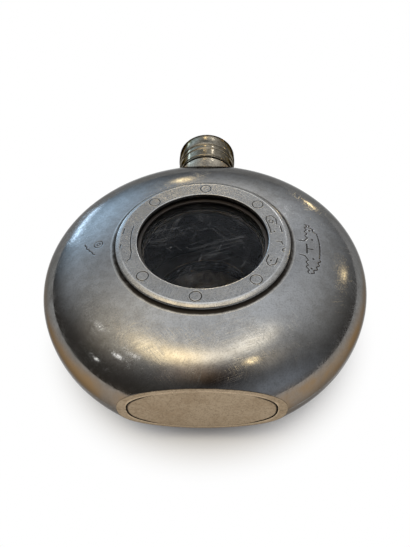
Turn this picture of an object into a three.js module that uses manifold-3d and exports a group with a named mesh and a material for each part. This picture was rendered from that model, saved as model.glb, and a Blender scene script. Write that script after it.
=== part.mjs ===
// A round pewter hip flask with a glass porthole in each face, lying on its back.
// Millimetres. +Z points up out of the front porthole and +Y runs along the neck to the cap.
// The origin is on the table, under the middle of the flask's box.
import * as THREE from 'three';
import { mergeVertices } from 'three/addons/utils/BufferGeometryUtils.js';
import Module from 'manifold-3d';

const wasm = await Module();
wasm.setup();

// Body: two pressed domes soldered edge to edge
const BODY_RADIUS = 43;
const BODY_HALF_DEPTH = 16.8; // height of one dome, as if it had no window
const DOME_POWER = 2.45; // 2 would be an ellipse, more is squarer at the shoulder
const SHELL_WALL = 0.9;
const SEAM_GAP = 0.3; // the solder line round the edge of the body
const JOINT_GAP = 0.3; // between other soldered pieces

// Foot: a flat cut across the bottom, closed by an oval plate let into the opening
const FOOT_CUT = 4.6; // depth of the cut below the round outline
const PLATE_THICKNESS = 1.3;

// Porthole: seat ring, gasket, glass, gasket and bezel, from the inside out
const VIEW_RADIUS = 16.45; // bore of the bezel
const GLASS_BITE = 1.6; // how far the glass reaches under the bezel
const GLASS_THICKNESS = 2.4;
const GLASS_CHAMFER = 0.25;
const GASKET_THICKNESS = 0.7;
const GASKET_LIP = 0.75; // how far the gaskets show inside the bezel
const LEDGE_LIP = 1.3; // how far the seat's ledge shows inside the bezel
const LEDGE_THICKNESS = 1.1;
const SEAT_WALL = 1.1;
const SEAT_FLANGE = 2.0; // the rim of the seat ring under the shell
const FLANGE_THICKNESS = 1.0;
const STACK_GAP = 0.15; // between the pieces of the porthole
const BEZEL_COVER = 3.3; // how far the bezel reaches past the hole in the shell
const BEZEL_HEIGHT = 1.45; // from the dome at its outer edge up to its flat face
const BEZEL_FLARE = 0.9; // from the rounded edge out to the foot of the bezel
const BEZEL_EDGE = 0.7; // radius of the rounded outer edge
const BEZEL_BORE_CHAMFER = 0.2;
const SKIRT_DEPTH = 1.7; // from the face down to the bottom of the bezel's bore

// Neck: a spout tube through the body wall, with a collar that sits on the body
const NECK_BORE_RADIUS = 5.5;
const NECK_WALL = 1.5;
const NECK_REACH = 1.1; // how far the tube stands into the body, past its wall
const COLLAR_STAND = 0.6; // the collar's top above the round outline
const COLLAR_FLARE = 0.5; // from the collar's top out to its base
const SPOUT_LENGTH = 8.6; // above the collar
const SPOUT_LIP = 0.5; // rounding of the pouring edge

// Cap: a turned screw cap with ring mouldings and a loose liner disc
const THREAD_ROOM = 0.6; // between the spout and the cap's bore
const CAP_WALL = 1.25; // at the plain band
const CAP_BEAD = 0.45; // how far the mouldings stand out of the band
const CAP_GROOVE = 0.25; // how far the grooves are cut below the band
const CAP_TOP_THICKNESS = 1.65;
const CAP_CROWN = 0.35; // dome of the cap's end
const CAP_EDGE = 1.1; // radius of the cap's rounded end
const CAP_LAND = 4; // smooth stretch below the rounded end
const RING_WIDTH = 1.3; // the bead in the middle of the cap
const GROOVE_WIDTH = 0.6;
const RIM_WIDTH = 0.9; // the bead at the cap's open end
const COLLAR_BEARING = 1.2; // width on which the cap's rim bears on the collar
const LINER_THICKNESS = 1.6;
const LINER_ROOM = 0.3; // between the liner and the cap's bore

// Facets
const BODY_STEPS = 48;
const NECK_STEPS = 36;
const DOME_STEPS = 8;
const EDGE_STEPS = 3;
const CUTTER_MARGIN = 5; // how far a cutting block runs past what it cuts

// The pewter dome: a rounded-off ellipse turned about Z, which can be grown or shrunk evenly
class Dome {
  constructor(radius, halfDepth) {
    this.radius = radius;
    this.halfDepth = halfDepth;
  }

  grown(by) {
    return new Dome(this.radius + by, this.halfDepth + by);
  }

  height(r) {
    return this.halfDepth * (1 - (r / this.radius) ** DOME_POWER) ** (1 / DOME_POWER);
  }

  reach(z) {
    return this.radius * (1 - (z / this.halfDepth) ** DOME_POWER) ** (1 / DOME_POWER);
  }

  point(angle) {
    const r = this.radius * Math.cos(angle) ** (2 / DOME_POWER);
    const z = this.halfDepth * Math.sin(angle) ** (2 / DOME_POWER);
    return new THREE.Vector2(r, z);
  }

  // Points on the dome from height z near the edge of the body up to radius r
  arc(z, r) {
    const low = Math.asin((z / this.halfDepth) ** (DOME_POWER / 2));
    const high = Math.acos((r / this.radius) ** (DOME_POWER / 2));
    const step = (high - low) / DOME_STEPS;
    return Array.from({ length: DOME_STEPS + 1 }, (_, i) => this.point(low + i * step));
  }
}

const outside = new Dome(BODY_RADIUS, BODY_HALF_DEPTH);
const inside = outside.grown(-SHELL_WALL);

// Radii and levels that follow from the sizes above
const glassRadius = VIEW_RADIUS + GLASS_BITE;
const wellRadius = glassRadius + STACK_GAP;
const seatRadius = wellRadius + SEAT_WALL;
const holeRadius = seatRadius + JOINT_GAP;
const bezelRadius = holeRadius + BEZEL_COVER;
const faceLevel = outside.height(bezelRadius) + BEZEL_HEIGHT;
const skirtLevel = faceLevel - SKIRT_DEPTH;
const outerGasketLevel = skirtLevel - STACK_GAP - GASKET_THICKNESS;
const glassLevel = outerGasketLevel - STACK_GAP - GLASS_THICKNESS;
const innerGasketLevel = glassLevel - STACK_GAP - GASKET_THICKNESS;
const ledgeLevel = innerGasketLevel - STACK_GAP;
const spoutRadius = NECK_BORE_RADIUS + NECK_WALL;
const capBore = spoutRadius + THREAD_ROOM;
const capRadius = capBore + CAP_WALL;
const footPlane = BODY_RADIUS - FOOT_CUT;
const tubeEnd = inside.reach(spoutRadius) - NECK_REACH;
const collarTop = BODY_RADIUS + COLLAR_STAND;
const spoutEnd = collarTop + SPOUT_LENGTH;
const capRim = collarTop + JOINT_GAP;
const linerBase = spoutEnd + JOINT_GAP;
const capInside = linerBase + LINER_THICKNESS + STACK_GAP;
const capEnd = capInside + CAP_TOP_THICKNESS;

const pewter = { color: 0x8c8e8d, roughness: 0.36, metalness: 1 };
const brightPewter = { color: 0xa4a39c, roughness: 0.3, metalness: 1 };
const darkGlass = { color: 0x1c2123, roughness: 0.06, metalness: 0 };
const blackRubber = { color: 0x161615, roughness: 0.7, metalness: 0 };
const cork = { color: 0xb08858, roughness: 0.85, metalness: 0 };

const at = (r, level) => new THREE.Vector2(r, level);

// A quarter round of the given radius from one angle to another, about a centre
function rounding(r, level, radius, from, to) {
  const step = (to - from) / EDGE_STEPS;
  return Array.from({ length: EDGE_STEPS + 1 }, (_, i) => {
    const angle = from + i * step;
    return at(r + radius * Math.cos(angle), level + radius * Math.sin(angle));
  });
}

function signedVolume(positions, triangles) {
  const [a, b, c] = [new THREE.Vector3(), new THREE.Vector3(), new THREE.Vector3()];
  let volume = 0;
  for (let i = 0; i < triangles.length; i += 3) {
    a.fromArray(positions, 3 * triangles[i]);
    b.fromArray(positions, 3 * triangles[i + 1]);
    c.fromArray(positions, 3 * triangles[i + 2]);
    volume += a.dot(b.cross(c)) / 6;
  }
  return volume;
}

// A closed solid from a three.js geometry, with its faces turned outwards
function solid(geometry) {
  geometry.deleteAttribute('normal');
  geometry.deleteAttribute('uv');
  const merged = mergeVertices(geometry);
  const positions = merged.getAttribute('position').array;
  const index = merged.getIndex().array;
  const triangles = [];
  for (let i = 0; i < index.length; i += 3) {
    const [a, b, c] = [index[i], index[i + 1], index[i + 2]];
    if (a !== b && b !== c && c !== a) triangles.push(a, b, c);
  }
  if (signedVolume(positions, triangles) < 0) triangles.reverse();
  return new wasm.Manifold(new wasm.Mesh({
    numProp: 3,
    vertProperties: new Float32Array(positions),
    triVerts: new Uint32Array(triangles),
  }));
}

// A solid turned about the flask's Z axis, from a profile of radius and height
function turned(profile) {
  return solid(new THREE.LatheGeometry(profile, BODY_STEPS).rotateX(Math.PI / 2));
}

// A solid turned about the neck's Y axis, from a profile of radius and distance along the neck
function turnedNeck(profile) {
  return solid(new THREE.LatheGeometry(profile, NECK_STEPS));
}

function loop(profile) {
  return [...profile, profile[0].clone()];
}

// A block as wide and deep as the body and more, between two levels along Y
function slab(low, high) {
  const span = 2 * (BODY_RADIUS + CUTTER_MARGIN);
  return solid(new THREE.BoxGeometry(span, high - low, span).translate(0, (low + high) / 2, 0));
}

// A whole body of the dome's shape, both halves in one
function wholeBody(dome) {
  const top = dome.arc(0, 0);
  const bottom = top.slice(1).map((p) => at(p.x, -p.y)).reverse();
  return turned([...bottom, ...top]);
}

function piece(name, body, finish) {
  const { vertProperties, triVerts } = body.getMesh();
  const geometry = new THREE.BufferGeometry();
  geometry.setAttribute('position', new THREE.BufferAttribute(vertProperties, 3));
  geometry.setIndex(new THREE.BufferAttribute(triVerts, 1));
  geometry.computeVertexNormals();
  const mesh = new THREE.Mesh(geometry, new THREE.MeshStandardMaterial(finish));
  mesh.name = name;
  return mesh;
}

// One half of the body, with the porthole's hole, half of the neck's hole and half of the foot's cut
function makeShell() {
  const outer = outside.arc(SEAM_GAP / 2, holeRadius);
  const inner = inside.arc(SEAM_GAP / 2, holeRadius).reverse();
  const dome = turned(loop([...outer, ...inner]));
  const foot = slab(-BODY_RADIUS - CUTTER_MARGIN, -footPlane);
  const hole = turnedNeck([
    at(0, tubeEnd - CUTTER_MARGIN),
    at(spoutRadius + JOINT_GAP, tubeEnd - CUTTER_MARGIN),
    at(spoutRadius + JOINT_GAP, BODY_RADIUS + CUTTER_MARGIN),
    at(0, BODY_RADIUS + CUTTER_MARGIN),
  ]);
  return dome.subtract(foot).subtract(hole);
}

// The oval plate, whose bevelled edge follows the inside of the shells
function makeBasePlate() {
  const opening = wholeBody(inside.grown(-JOINT_GAP));
  return opening.intersect(slab(-footPlane, PLATE_THICKNESS - footPlane));
}

// The ring soldered into the shell: a well with a ledge for the glass, and a flange under the shell
function makeSeatRing() {
  const flangeRadius = holeRadius + SEAT_FLANGE;
  const flangeTop = (r) => inside.height(r) - JOINT_GAP;
  const ledgeRadius = VIEW_RADIUS - LEDGE_LIP;
  const bottom = ledgeLevel - LEDGE_THICKNESS;
  return turned(loop([
    at(ledgeRadius, bottom),
    at(seatRadius, bottom),
    at(seatRadius, flangeTop(seatRadius) - FLANGE_THICKNESS),
    at(flangeRadius, flangeTop(flangeRadius) - FLANGE_THICKNESS),
    at(flangeRadius, flangeTop(flangeRadius)),
    at(seatRadius, flangeTop(seatRadius)),
    at(seatRadius, outside.height(holeRadius)),
    at(wellRadius, outside.height(holeRadius)),
    at(wellRadius, ledgeLevel),
    at(ledgeRadius, ledgeLevel),
  ]));
}

function makeGasket(level) {
  const bore = VIEW_RADIUS - GASKET_LIP;
  return turned(loop([
    at(bore, level),
    at(glassRadius, level),
    at(glassRadius, level + GASKET_THICKNESS),
    at(bore, level + GASKET_THICKNESS),
  ]));
}

function makeWindow() {
  const top = glassLevel + GLASS_THICKNESS;
  return turned([
    at(0, glassLevel),
    at(glassRadius - GLASS_CHAMFER, glassLevel),
    at(glassRadius, glassLevel + GLASS_CHAMFER),
    at(glassRadius, top - GLASS_CHAMFER),
    at(glassRadius - GLASS_CHAMFER, top),
    at(0, top),
  ]);
}

// The flat-faced ring that holds the glass: a skirt in the well, and a flange that follows the dome
function makeBezel() {
  const shoulder = bezelRadius - BEZEL_FLARE - BEZEL_EDGE;
  const seat = (r) => outside.height(r) + STACK_GAP;
  const wellTop = outside.height(holeRadius) + STACK_GAP;
  return turned(loop([
    at(VIEW_RADIUS, skirtLevel),
    at(glassRadius, skirtLevel),
    at(glassRadius, wellTop),
    at(holeRadius, wellTop),
    at((holeRadius + bezelRadius) / 2, seat((holeRadius + bezelRadius) / 2)),
    at(bezelRadius, seat(bezelRadius)),
    ...rounding(shoulder, faceLevel - BEZEL_EDGE, BEZEL_EDGE, 0, Math.PI / 2),
    at(VIEW_RADIUS + BEZEL_BORE_CHAMFER, faceLevel),
    at(VIEW_RADIUS, faceLevel - BEZEL_BORE_CHAMFER),
  ]));
}

// The spout tube, and the collar whose underside is cut to the body it sits on
function makeNeck() {
  const tube = turnedNeck(loop([
    at(NECK_BORE_RADIUS, tubeEnd),
    at(spoutRadius, tubeEnd),
    at(spoutRadius, spoutEnd - SPOUT_LIP),
    at(spoutRadius - SPOUT_LIP, spoutEnd),
    at(NECK_BORE_RADIUS, spoutEnd),
  ]));
  const topRadius = capBore + COLLAR_BEARING;
  const baseRadius = topRadius + COLLAR_FLARE;
  const collar = turnedNeck(loop([
    at(spoutRadius - NECK_WALL / 2, inside.reach(baseRadius)),
    at(baseRadius, inside.reach(baseRadius)),
    ...rounding(topRadius, BODY_RADIUS - COLLAR_FLARE, COLLAR_FLARE, 0, Math.PI / 3),
    at(topRadius, collarTop),
    at(spoutRadius - NECK_WALL / 2, collarTop),
  ]));
  return collar.subtract(wholeBody(outside.grown(JOINT_GAP))).add(tube);
}

// A groove and the bead after it, going down the cap from a level
function mouldingBelow(level, width) {
  const bead = capRadius + CAP_BEAD;
  const root = capRadius - CAP_GROOVE;
  const top = level - GROOVE_WIDTH;
  return [
    at(root, level - GROOVE_WIDTH / 2),
    at(bead, top),
    at(bead, top - width),
  ];
}

function makeCap() {
  const bead = capRadius + CAP_BEAD;
  const root = capRadius - CAP_GROOVE;
  const edgeLevel = capEnd - CAP_CROWN - CAP_EDGE;
  const landEnd = edgeLevel - CAP_LAND;
  const ringEnd = landEnd - GROOVE_WIDTH - RING_WIDTH;
  return turnedNeck([
    at(0, capEnd),
    at((bead - CAP_EDGE) / 2, capEnd - CAP_CROWN / 4),
    ...rounding(bead - CAP_EDGE, edgeLevel, CAP_EDGE, Math.PI / 2, 0),
    at(bead, landEnd),
    ...mouldingBelow(landEnd, RING_WIDTH),
    at(root, ringEnd - GROOVE_WIDTH / 2),
    at(capRadius, ringEnd - GROOVE_WIDTH),
    at(capRadius, capRim + RIM_WIDTH + GROOVE_WIDTH),
    ...mouldingBelow(capRim + RIM_WIDTH + GROOVE_WIDTH, RIM_WIDTH),
    at(capBore, capRim),
    at(capBore, capInside),
    at(0, capInside),
  ]);
}

function makeLiner() {
  return turnedNeck([
    at(0, linerBase),
    at(capBore - LINER_ROOM, linerBase),
    at(capBore - LINER_ROOM, linerBase + LINER_THICKNESS),
    at(0, linerBase + LINER_THICKNESS),
  ]);
}

// One face of the flask: half the body and everything in its porthole
function makeSide(side) {
  const group = new THREE.Group();
  group.add(
    piece(`${side}_shell`, makeShell(), pewter),
    piece(`${side}_seat_ring`, makeSeatRing(), pewter),
    piece(`${side}_inner_gasket`, makeGasket(innerGasketLevel), blackRubber),
    piece(`${side}_window`, makeWindow(), darkGlass),
    piece(`${side}_outer_gasket`, makeGasket(outerGasketLevel), blackRubber),
    piece(`${side}_bezel`, makeBezel(), brightPewter),
  );
  return group;
}

function makeFlask() {
  const flask = new THREE.Group();
  const back = makeSide('back');
  back.rotation.y = Math.PI;
  flask.add(
    makeSide('front'),
    back,
    piece('base_plate', makeBasePlate(), brightPewter),
    piece('neck', makeNeck(), brightPewter),
    piece('cap', makeCap(), brightPewter),
    piece('cap_liner', makeLiner(), cork),
  );
  flask.position.set(0, (footPlane - capEnd) / 2, faceLevel);
  return flask;
}

const flask = makeFlask();

export default flask;
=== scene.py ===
"""Dresses a round pewter hip flask with a glass porthole in each face, lying on its back.

Lengths are in metres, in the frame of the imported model. Each shape is worked out about the middle
of the body and moved to its place in the frame when its mesh is made.
"""

import logging
import math
from dataclasses import dataclass
from enum import Enum

import bmesh
import bpy
import numpy as np
from mathutils import Matrix, Vector


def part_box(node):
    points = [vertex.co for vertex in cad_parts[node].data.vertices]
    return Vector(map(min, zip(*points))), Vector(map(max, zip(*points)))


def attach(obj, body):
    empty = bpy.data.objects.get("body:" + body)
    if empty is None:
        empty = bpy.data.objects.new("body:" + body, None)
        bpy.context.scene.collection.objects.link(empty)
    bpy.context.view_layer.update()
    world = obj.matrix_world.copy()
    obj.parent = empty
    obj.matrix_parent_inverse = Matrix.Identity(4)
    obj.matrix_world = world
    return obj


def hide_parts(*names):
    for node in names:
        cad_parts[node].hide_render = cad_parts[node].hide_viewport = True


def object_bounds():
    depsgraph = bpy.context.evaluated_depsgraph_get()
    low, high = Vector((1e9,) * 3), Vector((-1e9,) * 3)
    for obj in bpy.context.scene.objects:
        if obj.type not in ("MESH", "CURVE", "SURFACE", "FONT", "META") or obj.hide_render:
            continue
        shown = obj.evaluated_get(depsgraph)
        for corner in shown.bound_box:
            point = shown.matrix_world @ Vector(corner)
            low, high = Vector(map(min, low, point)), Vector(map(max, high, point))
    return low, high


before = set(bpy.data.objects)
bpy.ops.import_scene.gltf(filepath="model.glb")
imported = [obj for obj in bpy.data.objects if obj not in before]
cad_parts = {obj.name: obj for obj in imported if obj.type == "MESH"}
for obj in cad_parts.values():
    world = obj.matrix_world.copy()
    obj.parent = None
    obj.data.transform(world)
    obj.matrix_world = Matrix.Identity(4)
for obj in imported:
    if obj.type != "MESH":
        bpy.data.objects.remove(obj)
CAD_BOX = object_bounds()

log = logging.getLogger("flask")

MM = 0.001
TURN = 2 * math.pi
WELD = 1e-7
SMOOTH_UNDER = math.radians(52)
HALVINGS = 50

# Heights from the middle of the body: where the painted brown reflection of a table starts, and where it
# thins out underneath.
LOW_FROM = 8 * MM
LOW_FADE = 3.5 * MM
UNDER_FROM = 4 * MM
UNDER_FADE = 8 * MM
UNDER_SHARE = 0.65

# Worn edges: the bend in 1/m where rubbing starts to show, the further bend at which it shows in full,
# the rings of points round the cuts and painted shade marked as groove that stay dull, and how strongly
# these keep them so.
RUB_FROM = 300.0
RUB_FADE = 900.0
RUB_CLEAR = 3
RUB_KEPT_OFF = 4

# The numbers of the colour sockets on Blender's mix node, which share their names with others.
MIX_SHARE = 0
MIX_FIRST = 6
MIX_SECOND = 7
MIX_RESULT = 2

Colour = tuple[float, float, float]
Point = tuple[float, float]
Input = float | tuple[float, ...] | bpy.types.NodeSocket
Wiring = dict[str | int, Input]


class Side(Enum):
    """A face of the flask, with the sign of its height."""

    FRONT = 1
    BACK = -1

    @property
    def word(self) -> str:
        """The face's name as the nodes have it."""
        return self.name.lower()


class Axis(Enum):
    """The line that a turned piece is turned about."""

    BODY = "through both portholes"
    NECK = "along the neck"


def middle_of_body() -> np.ndarray:
    """Works out the middle of the body from the front glass and the whole box.

    Returns:
        The middle of the body in the frame.
    """
    low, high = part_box("front_window")
    height = (CAD_BOX[0].z + CAD_BOX[1].z) / 2
    return np.array([(low.x + high.x) / 2, (low.y + high.y) / 2, height])


MIDDLE = middle_of_body()


def span(node: str, axis: int) -> Point:
    """Gives where a node starts and ends along an axis, from the middle of the body.

    Args:
        node: The CAD node.
        axis: 0, 1 or 2 for X, Y or Z.

    Returns:
        The lowest and highest place.
    """
    low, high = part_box(node)
    return low[axis] - MIDDLE[axis], high[axis] - MIDDLE[axis]


def ease(share: np.ndarray) -> np.ndarray:
    """Turns shares from 0 to 1 into a smooth rise."""
    held = np.clip(share, 0.0, 1.0)
    return held * held * (3 - 2 * held)


@dataclass(frozen=True)
class Corner:
    """A corner of a turned profile.

    Attributes:
        out: Distance from the axis.
        level: Distance along the axis.
        rounding: How far from the corner its rounding starts.
    """

    out: float
    level: float
    rounding: float = 0.0


ROUNDING_STEPS = 6


def profile(corners: list[Corner], closed: bool) -> np.ndarray:
    """Rounds the corners of a turned profile.

    Args:
        corners: The corners in order.
        closed: True if the last corner joins the first.

    Returns:
        Points as rows of distance from the axis and along it.
    """
    places = np.array([(c.out, c.level) for c in corners])
    count = len(corners)
    points = []
    for i, corner in enumerate(corners):
        here = places[i]
        if corner.rounding == 0 or (not closed and i in (0, count - 1)):
            points.append(here)
            continue
        ends = []
        for other in (i - 1, (i + 1) % count):
            leg = places[other] - here
            length = np.linalg.norm(leg)
            room = length * corner.rounding / (corner.rounding + corners[other].rounding)
            ends.append(here + leg / length * min(corner.rounding, room))
        start, stop = ends
        for share in np.linspace(0, 1, ROUNDING_STEPS):
            points.append((1 - share) ** 2 * start + 2 * share * (1 - share) * here + share**2 * stop)
    return np.array(points)


def turned(points: np.ndarray, angles: np.ndarray, axis: Axis) -> np.ndarray:
    """Turns a profile about an axis.

    Args:
        points: Rows of distance from the axis and along it.
        angles: The angles of the columns, from +X.
        axis: The line to turn about.

    Returns:
        Points by ring, column and coordinate.
    """
    across = points[:, 0, None] * np.cos(angles)
    upward = points[:, 0, None] * np.sin(angles)
    along = np.repeat(points[:, 1, None], len(angles), axis=1)
    if axis is Axis.NECK:
        return np.stack([across, along, upward], axis=-1)
    return np.stack([across, upward, along], axis=-1)


def evenly(columns: int) -> np.ndarray:
    """Gives the angles of evenly spread columns."""
    return np.arange(columns) * TURN / columns


def wear(mesh: bpy.types.Mesh) -> np.ndarray:
    """Finds the edges that hands and cloths rub bright, away from engraved lines, grooves and painted shade,
    which the groove attribute marks.

    Args:
        mesh: A closed mesh with its groove attribute set: dirt in its grooves and painted shade.

    Returns:
        For each point, 0 on a flat or hollow place and 1 on a sharp edge.
    """
    edge_of = np.empty(len(mesh.loops), np.int32)
    mesh.loops.foreach_get("edge_index", edge_of)
    sides = np.empty(len(mesh.polygons), np.int32)
    mesh.polygons.foreach_get("loop_total", sides)
    face_of = np.repeat(np.arange(len(sides)), sides)
    first, second = face_of[np.argsort(edge_of, kind="stable")].reshape(-1, 2).T
    middles = np.empty((len(sides), 3), np.float32)
    mesh.polygons.foreach_get("center", middles.ravel())
    ways = np.empty((len(sides), 3), np.float32)
    mesh.polygons.foreach_get("normal", ways.ravel())
    apart = middles[second] - middles[first]
    bend = ((ways[second] - ways[first]) * apart).sum(axis=1) / (apart * apart).sum(axis=1)
    ends = np.empty((len(mesh.edges), 2), np.int32)
    mesh.edges.foreach_get("vertices", ends.ravel())
    sharpest = np.zeros(len(mesh.vertices), np.float32)
    for end in ends.T:
        np.maximum.at(sharpest, end, bend)
    groove = np.empty(len(mesh.vertices), np.float32)
    mesh.attributes["groove"].data.foreach_get("value", groove)
    for _ in range(RUB_CLEAR):
        reach = groove[ends].max(axis=1)
        for end in ends.T:
            np.maximum.at(groove, end, reach)
    return ease((sharpest - RUB_FROM) / RUB_FADE) * (1 - np.clip(groove * RUB_KEPT_OFF, 0, 1))


def mark(mesh: bpy.types.Mesh, name: str, values: np.ndarray) -> None:
    """Keeps a value for each point of a mesh, for its finish to read."""
    mesh.attributes.new(name, "FLOAT", "POINT").data.foreach_set("value", values.astype(np.float32))


@dataclass
class Loft:
    """Rings of points that make one closed skin.

    Attributes:
        points: Points by ring, column and coordinate, from the middle of the body.
        poles: The points that close the first and last ring, or None if these rings join.
        groove: How dark each point is made, 0 to 1: dirt in engraved lines and grooves, painted shade in the
            bezel's cove and bore, at the ends of the foot plate and on the cap's end and rim, and a darker
            line along the foot's edge.
        finish: Which of the piece's finishes the faces after each point have.
    """

    points: np.ndarray
    poles: tuple[np.ndarray, np.ndarray] | None = None
    groove: np.ndarray | None = None
    finish: np.ndarray | None = None

    def faces(self) -> tuple[list[list[int]], list[int]]:
        """Joins the rings.

        Returns:
            The faces as lists of points, and the finish of each.
        """
        rings, columns, _ = self.points.shape
        index = np.arange(rings * columns).reshape(rings, columns)
        low = index if self.poles is None else index[:-1]
        high = np.roll(index, -1, axis=0) if self.poles is None else index[1:]
        quads = np.stack([low, np.roll(low, -1, 1), np.roll(high, -1, 1), high], axis=-1)
        finish = np.zeros(quads.shape[:2], int) if self.finish is None else self.finish
        faces = quads.reshape(-1, 4).tolist()
        finishes = finish.ravel().tolist()
        if self.poles is not None:
            ends = ((rings * columns, np.roll(index[0], -1), index[0]),
                    (rings * columns + 1, index[-1], np.roll(index[-1], -1)))
            for pole, first, second in ends:
                faces += [[pole, int(a), int(b)] for a, b in zip(first, second)]
            finishes += [0] * (2 * columns)
        return faces, finishes

    def mesh(self, name: str, side: Side) -> bpy.types.Mesh:
        """Makes the mesh, in its place in the frame.

        Args:
            name: The mesh's name.
            side: The face that it is for. The back is the front turned over about the neck.

        Returns:
            A closed mesh whose faces point out.
        """
        places = self.points.reshape(-1, 3)
        if self.poles is not None:
            places = np.vstack([places, *self.poles])
        faces, finishes = self.faces()
        mesh = bpy.data.meshes.new(name)
        turned_over = places * (side.value, 1, side.value)
        mesh.from_pydata((turned_over + MIDDLE).tolist(), [], faces)
        mesh.polygons.foreach_set("material_index", finishes)
        depth = np.zeros(len(places))
        if self.groove is not None:
            depth[: self.groove.size] = self.groove.ravel()
        mark(mesh, "groove", depth)
        # The low mark places the painted brown reflection of a table: low on the body, thinner underneath.
        height = turned_over[:, 2]
        under = ease((UNDER_FROM - height) / UNDER_FADE)
        low = ease((LOW_FROM - height) / LOW_FADE) * (1 - UNDER_SHARE * under)
        mark(mesh, "low", low)
        shaped = bmesh.new()
        shaped.from_mesh(mesh)
        bmesh.ops.remove_doubles(shaped, verts=shaped.verts, dist=WELD)
        bmesh.ops.recalc_face_normals(shaped, faces=shaped.faces)
        if shaped.calc_volume(signed=True) < 0:
            bmesh.ops.reverse_faces(shaped, faces=shaped.faces)
        shaped.to_mesh(mesh)
        shaped.free()
        mark(mesh, "rub", wear(mesh))
        mesh.shade_smooth()
        mesh.set_sharp_from_angle(angle=SMOOTH_UNDER)
        return mesh


@dataclass(frozen=True)
class Seat:
    """Where a piece belongs.

    Attributes:
        body: The moving body that it rides on.
        slot: The record's finish for it; not used.
        node: The CAD node that it stands for.
    """

    body: str
    slot: str
    node: str


def add_piece(
    name: str,
    loft: Loft,
    finishes: list[bpy.types.Material],
    seat: Seat,
    side: Side = Side.FRONT,
) -> bpy.types.Object:
    """Adds one piece of the flask to the scene.

    Args:
        name: The piece's name.
        loft: Its skin.
        finishes: Its materials, the outer one first.
        seat: Where it belongs.
        side: The face that it is for.

    Returns:
        The new object.
    """
    piece = bpy.data.objects.new(name, loft.mesh(name, side))
    bpy.context.scene.collection.objects.link(piece)
    for finish in finishes:
        piece.data.materials.append(finish)
    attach(piece, seat.body)
    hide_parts(seat.node)
    log.info("%s stands for %s with %d faces", name, seat.node, len(piece.data.polygons))
    return piece


class Nodes:
    """A node tree that is being written."""

    def __init__(self, tree: bpy.types.NodeTree) -> None:
        """Starts on a tree."""
        self.tree = tree

    def add(self, kind: str, wired: Wiring | None = None, **settings: object) -> bpy.types.Node:
        """Adds a node.

        Args:
            kind: Blender's name for the node.
            wired: What each input takes, a socket or a value, by its name or number.
            **settings: The node's own settings.

        Returns:
            The new node.
        """
        node = self.tree.nodes.new(kind)
        for key, value in settings.items():
            setattr(node, key, value)
        self.feed(node, wired or {})
        return node

    def feed(self, node: bpy.types.Node, wired: Wiring) -> None:
        """Joins sockets to a node's inputs, or sets values on them.

        Args:
            node: The node.
            wired: What each input takes, a socket or a value, by its name or number.
        """
        for key, value in wired.items():
            if isinstance(value, bpy.types.NodeSocket):
                self.tree.links.new(value, node.inputs[key])
            else:
                node.inputs[key].default_value = value

    def group(self, tree: bpy.types.NodeTree, wired: Wiring) -> bpy.types.bpy_prop_collection:
        """Places a shared effect with values of its own and gives its outputs."""
        return self.add("ShaderNodeGroup", wired, node_tree=tree).outputs

    def place(self) -> bpy.types.NodeSocket:
        """Adds the place of a point in the frame."""
        return self.add("ShaderNodeTexCoord").outputs["Object"]

    def marked(self, name: str) -> bpy.types.NodeSocket:
        """Adds a value that the mesh keeps for each point."""
        return self.add("ShaderNodeAttribute", attribute_name=name).outputs["Fac"]

    def math(self, operation: str, *values: Input) -> bpy.types.NodeSocket:
        """Adds a sum of one or more values and gives its result."""
        return self.add("ShaderNodeMath", dict(enumerate(values)), operation=operation).outputs[0]

    def rise(self, value: Input, low: float, high: float) -> bpy.types.NodeSocket:
        """Adds a smooth rise from 0 at low to 1 at high."""
        wired = {"Value": value, "From Min": low, "From Max": high}
        return self.add("ShaderNodeMapRange", wired, interpolation_type="SMOOTHSTEP").outputs[0]

    def between(self, share: Input, first: Input, second: Input) -> bpy.types.NodeSocket:
        """Adds a mix of two colours by a share."""
        wired = {MIX_SHARE: share, MIX_FIRST: first, MIX_SECOND: second}
        return self.add("ShaderNodeMix", wired, data_type="RGBA").outputs[MIX_RESULT]

    def noise(
        self, vector: Input, scale: Input, detail: float = 4.0, roughness: float = 0.55
    ) -> bpy.types.NodeSocket:
        """Adds a cloudy pattern and gives its value."""
        wired = {"Vector": vector, "Scale": scale, "Detail": detail, "Roughness": roughness}
        return self.add("ShaderNodeTexNoise", wired).outputs["Fac"]


class GroupNodes(Nodes):
    """The nodes of a shared effect."""

    @property
    def given(self) -> bpy.types.bpy_prop_collection:
        """What the effect is given."""
        return self.tree.nodes["in"].outputs

    def put_out(self, results: Wiring) -> bpy.types.NodeTree:
        """Joins the results to the effect's outputs and gives the finished group."""
        self.feed(self.tree.nodes["out"], results)
        return self.tree


def opaque(colour: Colour) -> tuple[float, float, float, float]:
    """Adds full cover to a colour."""
    return (*colour, 1.0)


def new_group(name: str, inputs: dict[str, float | Colour], outputs: dict[str, str]) -> GroupNodes:
    """Starts a shader node group.

    Args:
        name: The group's name.
        inputs: The value that each input has when nothing is joined to it.
        outputs: The kind of each output, Color or Float.

    Returns:
        The group's nodes, of which the input and output are named in and out.
    """
    tree = bpy.data.node_groups.new(name, "ShaderNodeTree")
    for label, value in inputs.items():
        kind = "Float" if isinstance(value, (int, float)) else "Color"
        socket = tree.interface.new_socket(label, in_out="INPUT", socket_type=f"NodeSocket{kind}")
        socket.default_value = value if kind == "Float" else opaque(value)
    for label, kind in outputs.items():
        tree.interface.new_socket(label, in_out="OUTPUT", socket_type=f"NodeSocket{kind}")
    tree.nodes.new("NodeGroupInput").name = "in"
    tree.nodes.new("NodeGroupOutput").name = "out"
    return GroupNodes(tree)


@dataclass(frozen=True)
class ScratchSet:
    """Scratches that all run one way.

    Attributes:
        turn: The way that they run, in radians from +X.
        along: Waves of their pattern in a metre along them.
        across: Waves of their pattern in a metre across them.
    """

    turn: float
    along: float
    across: float


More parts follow.
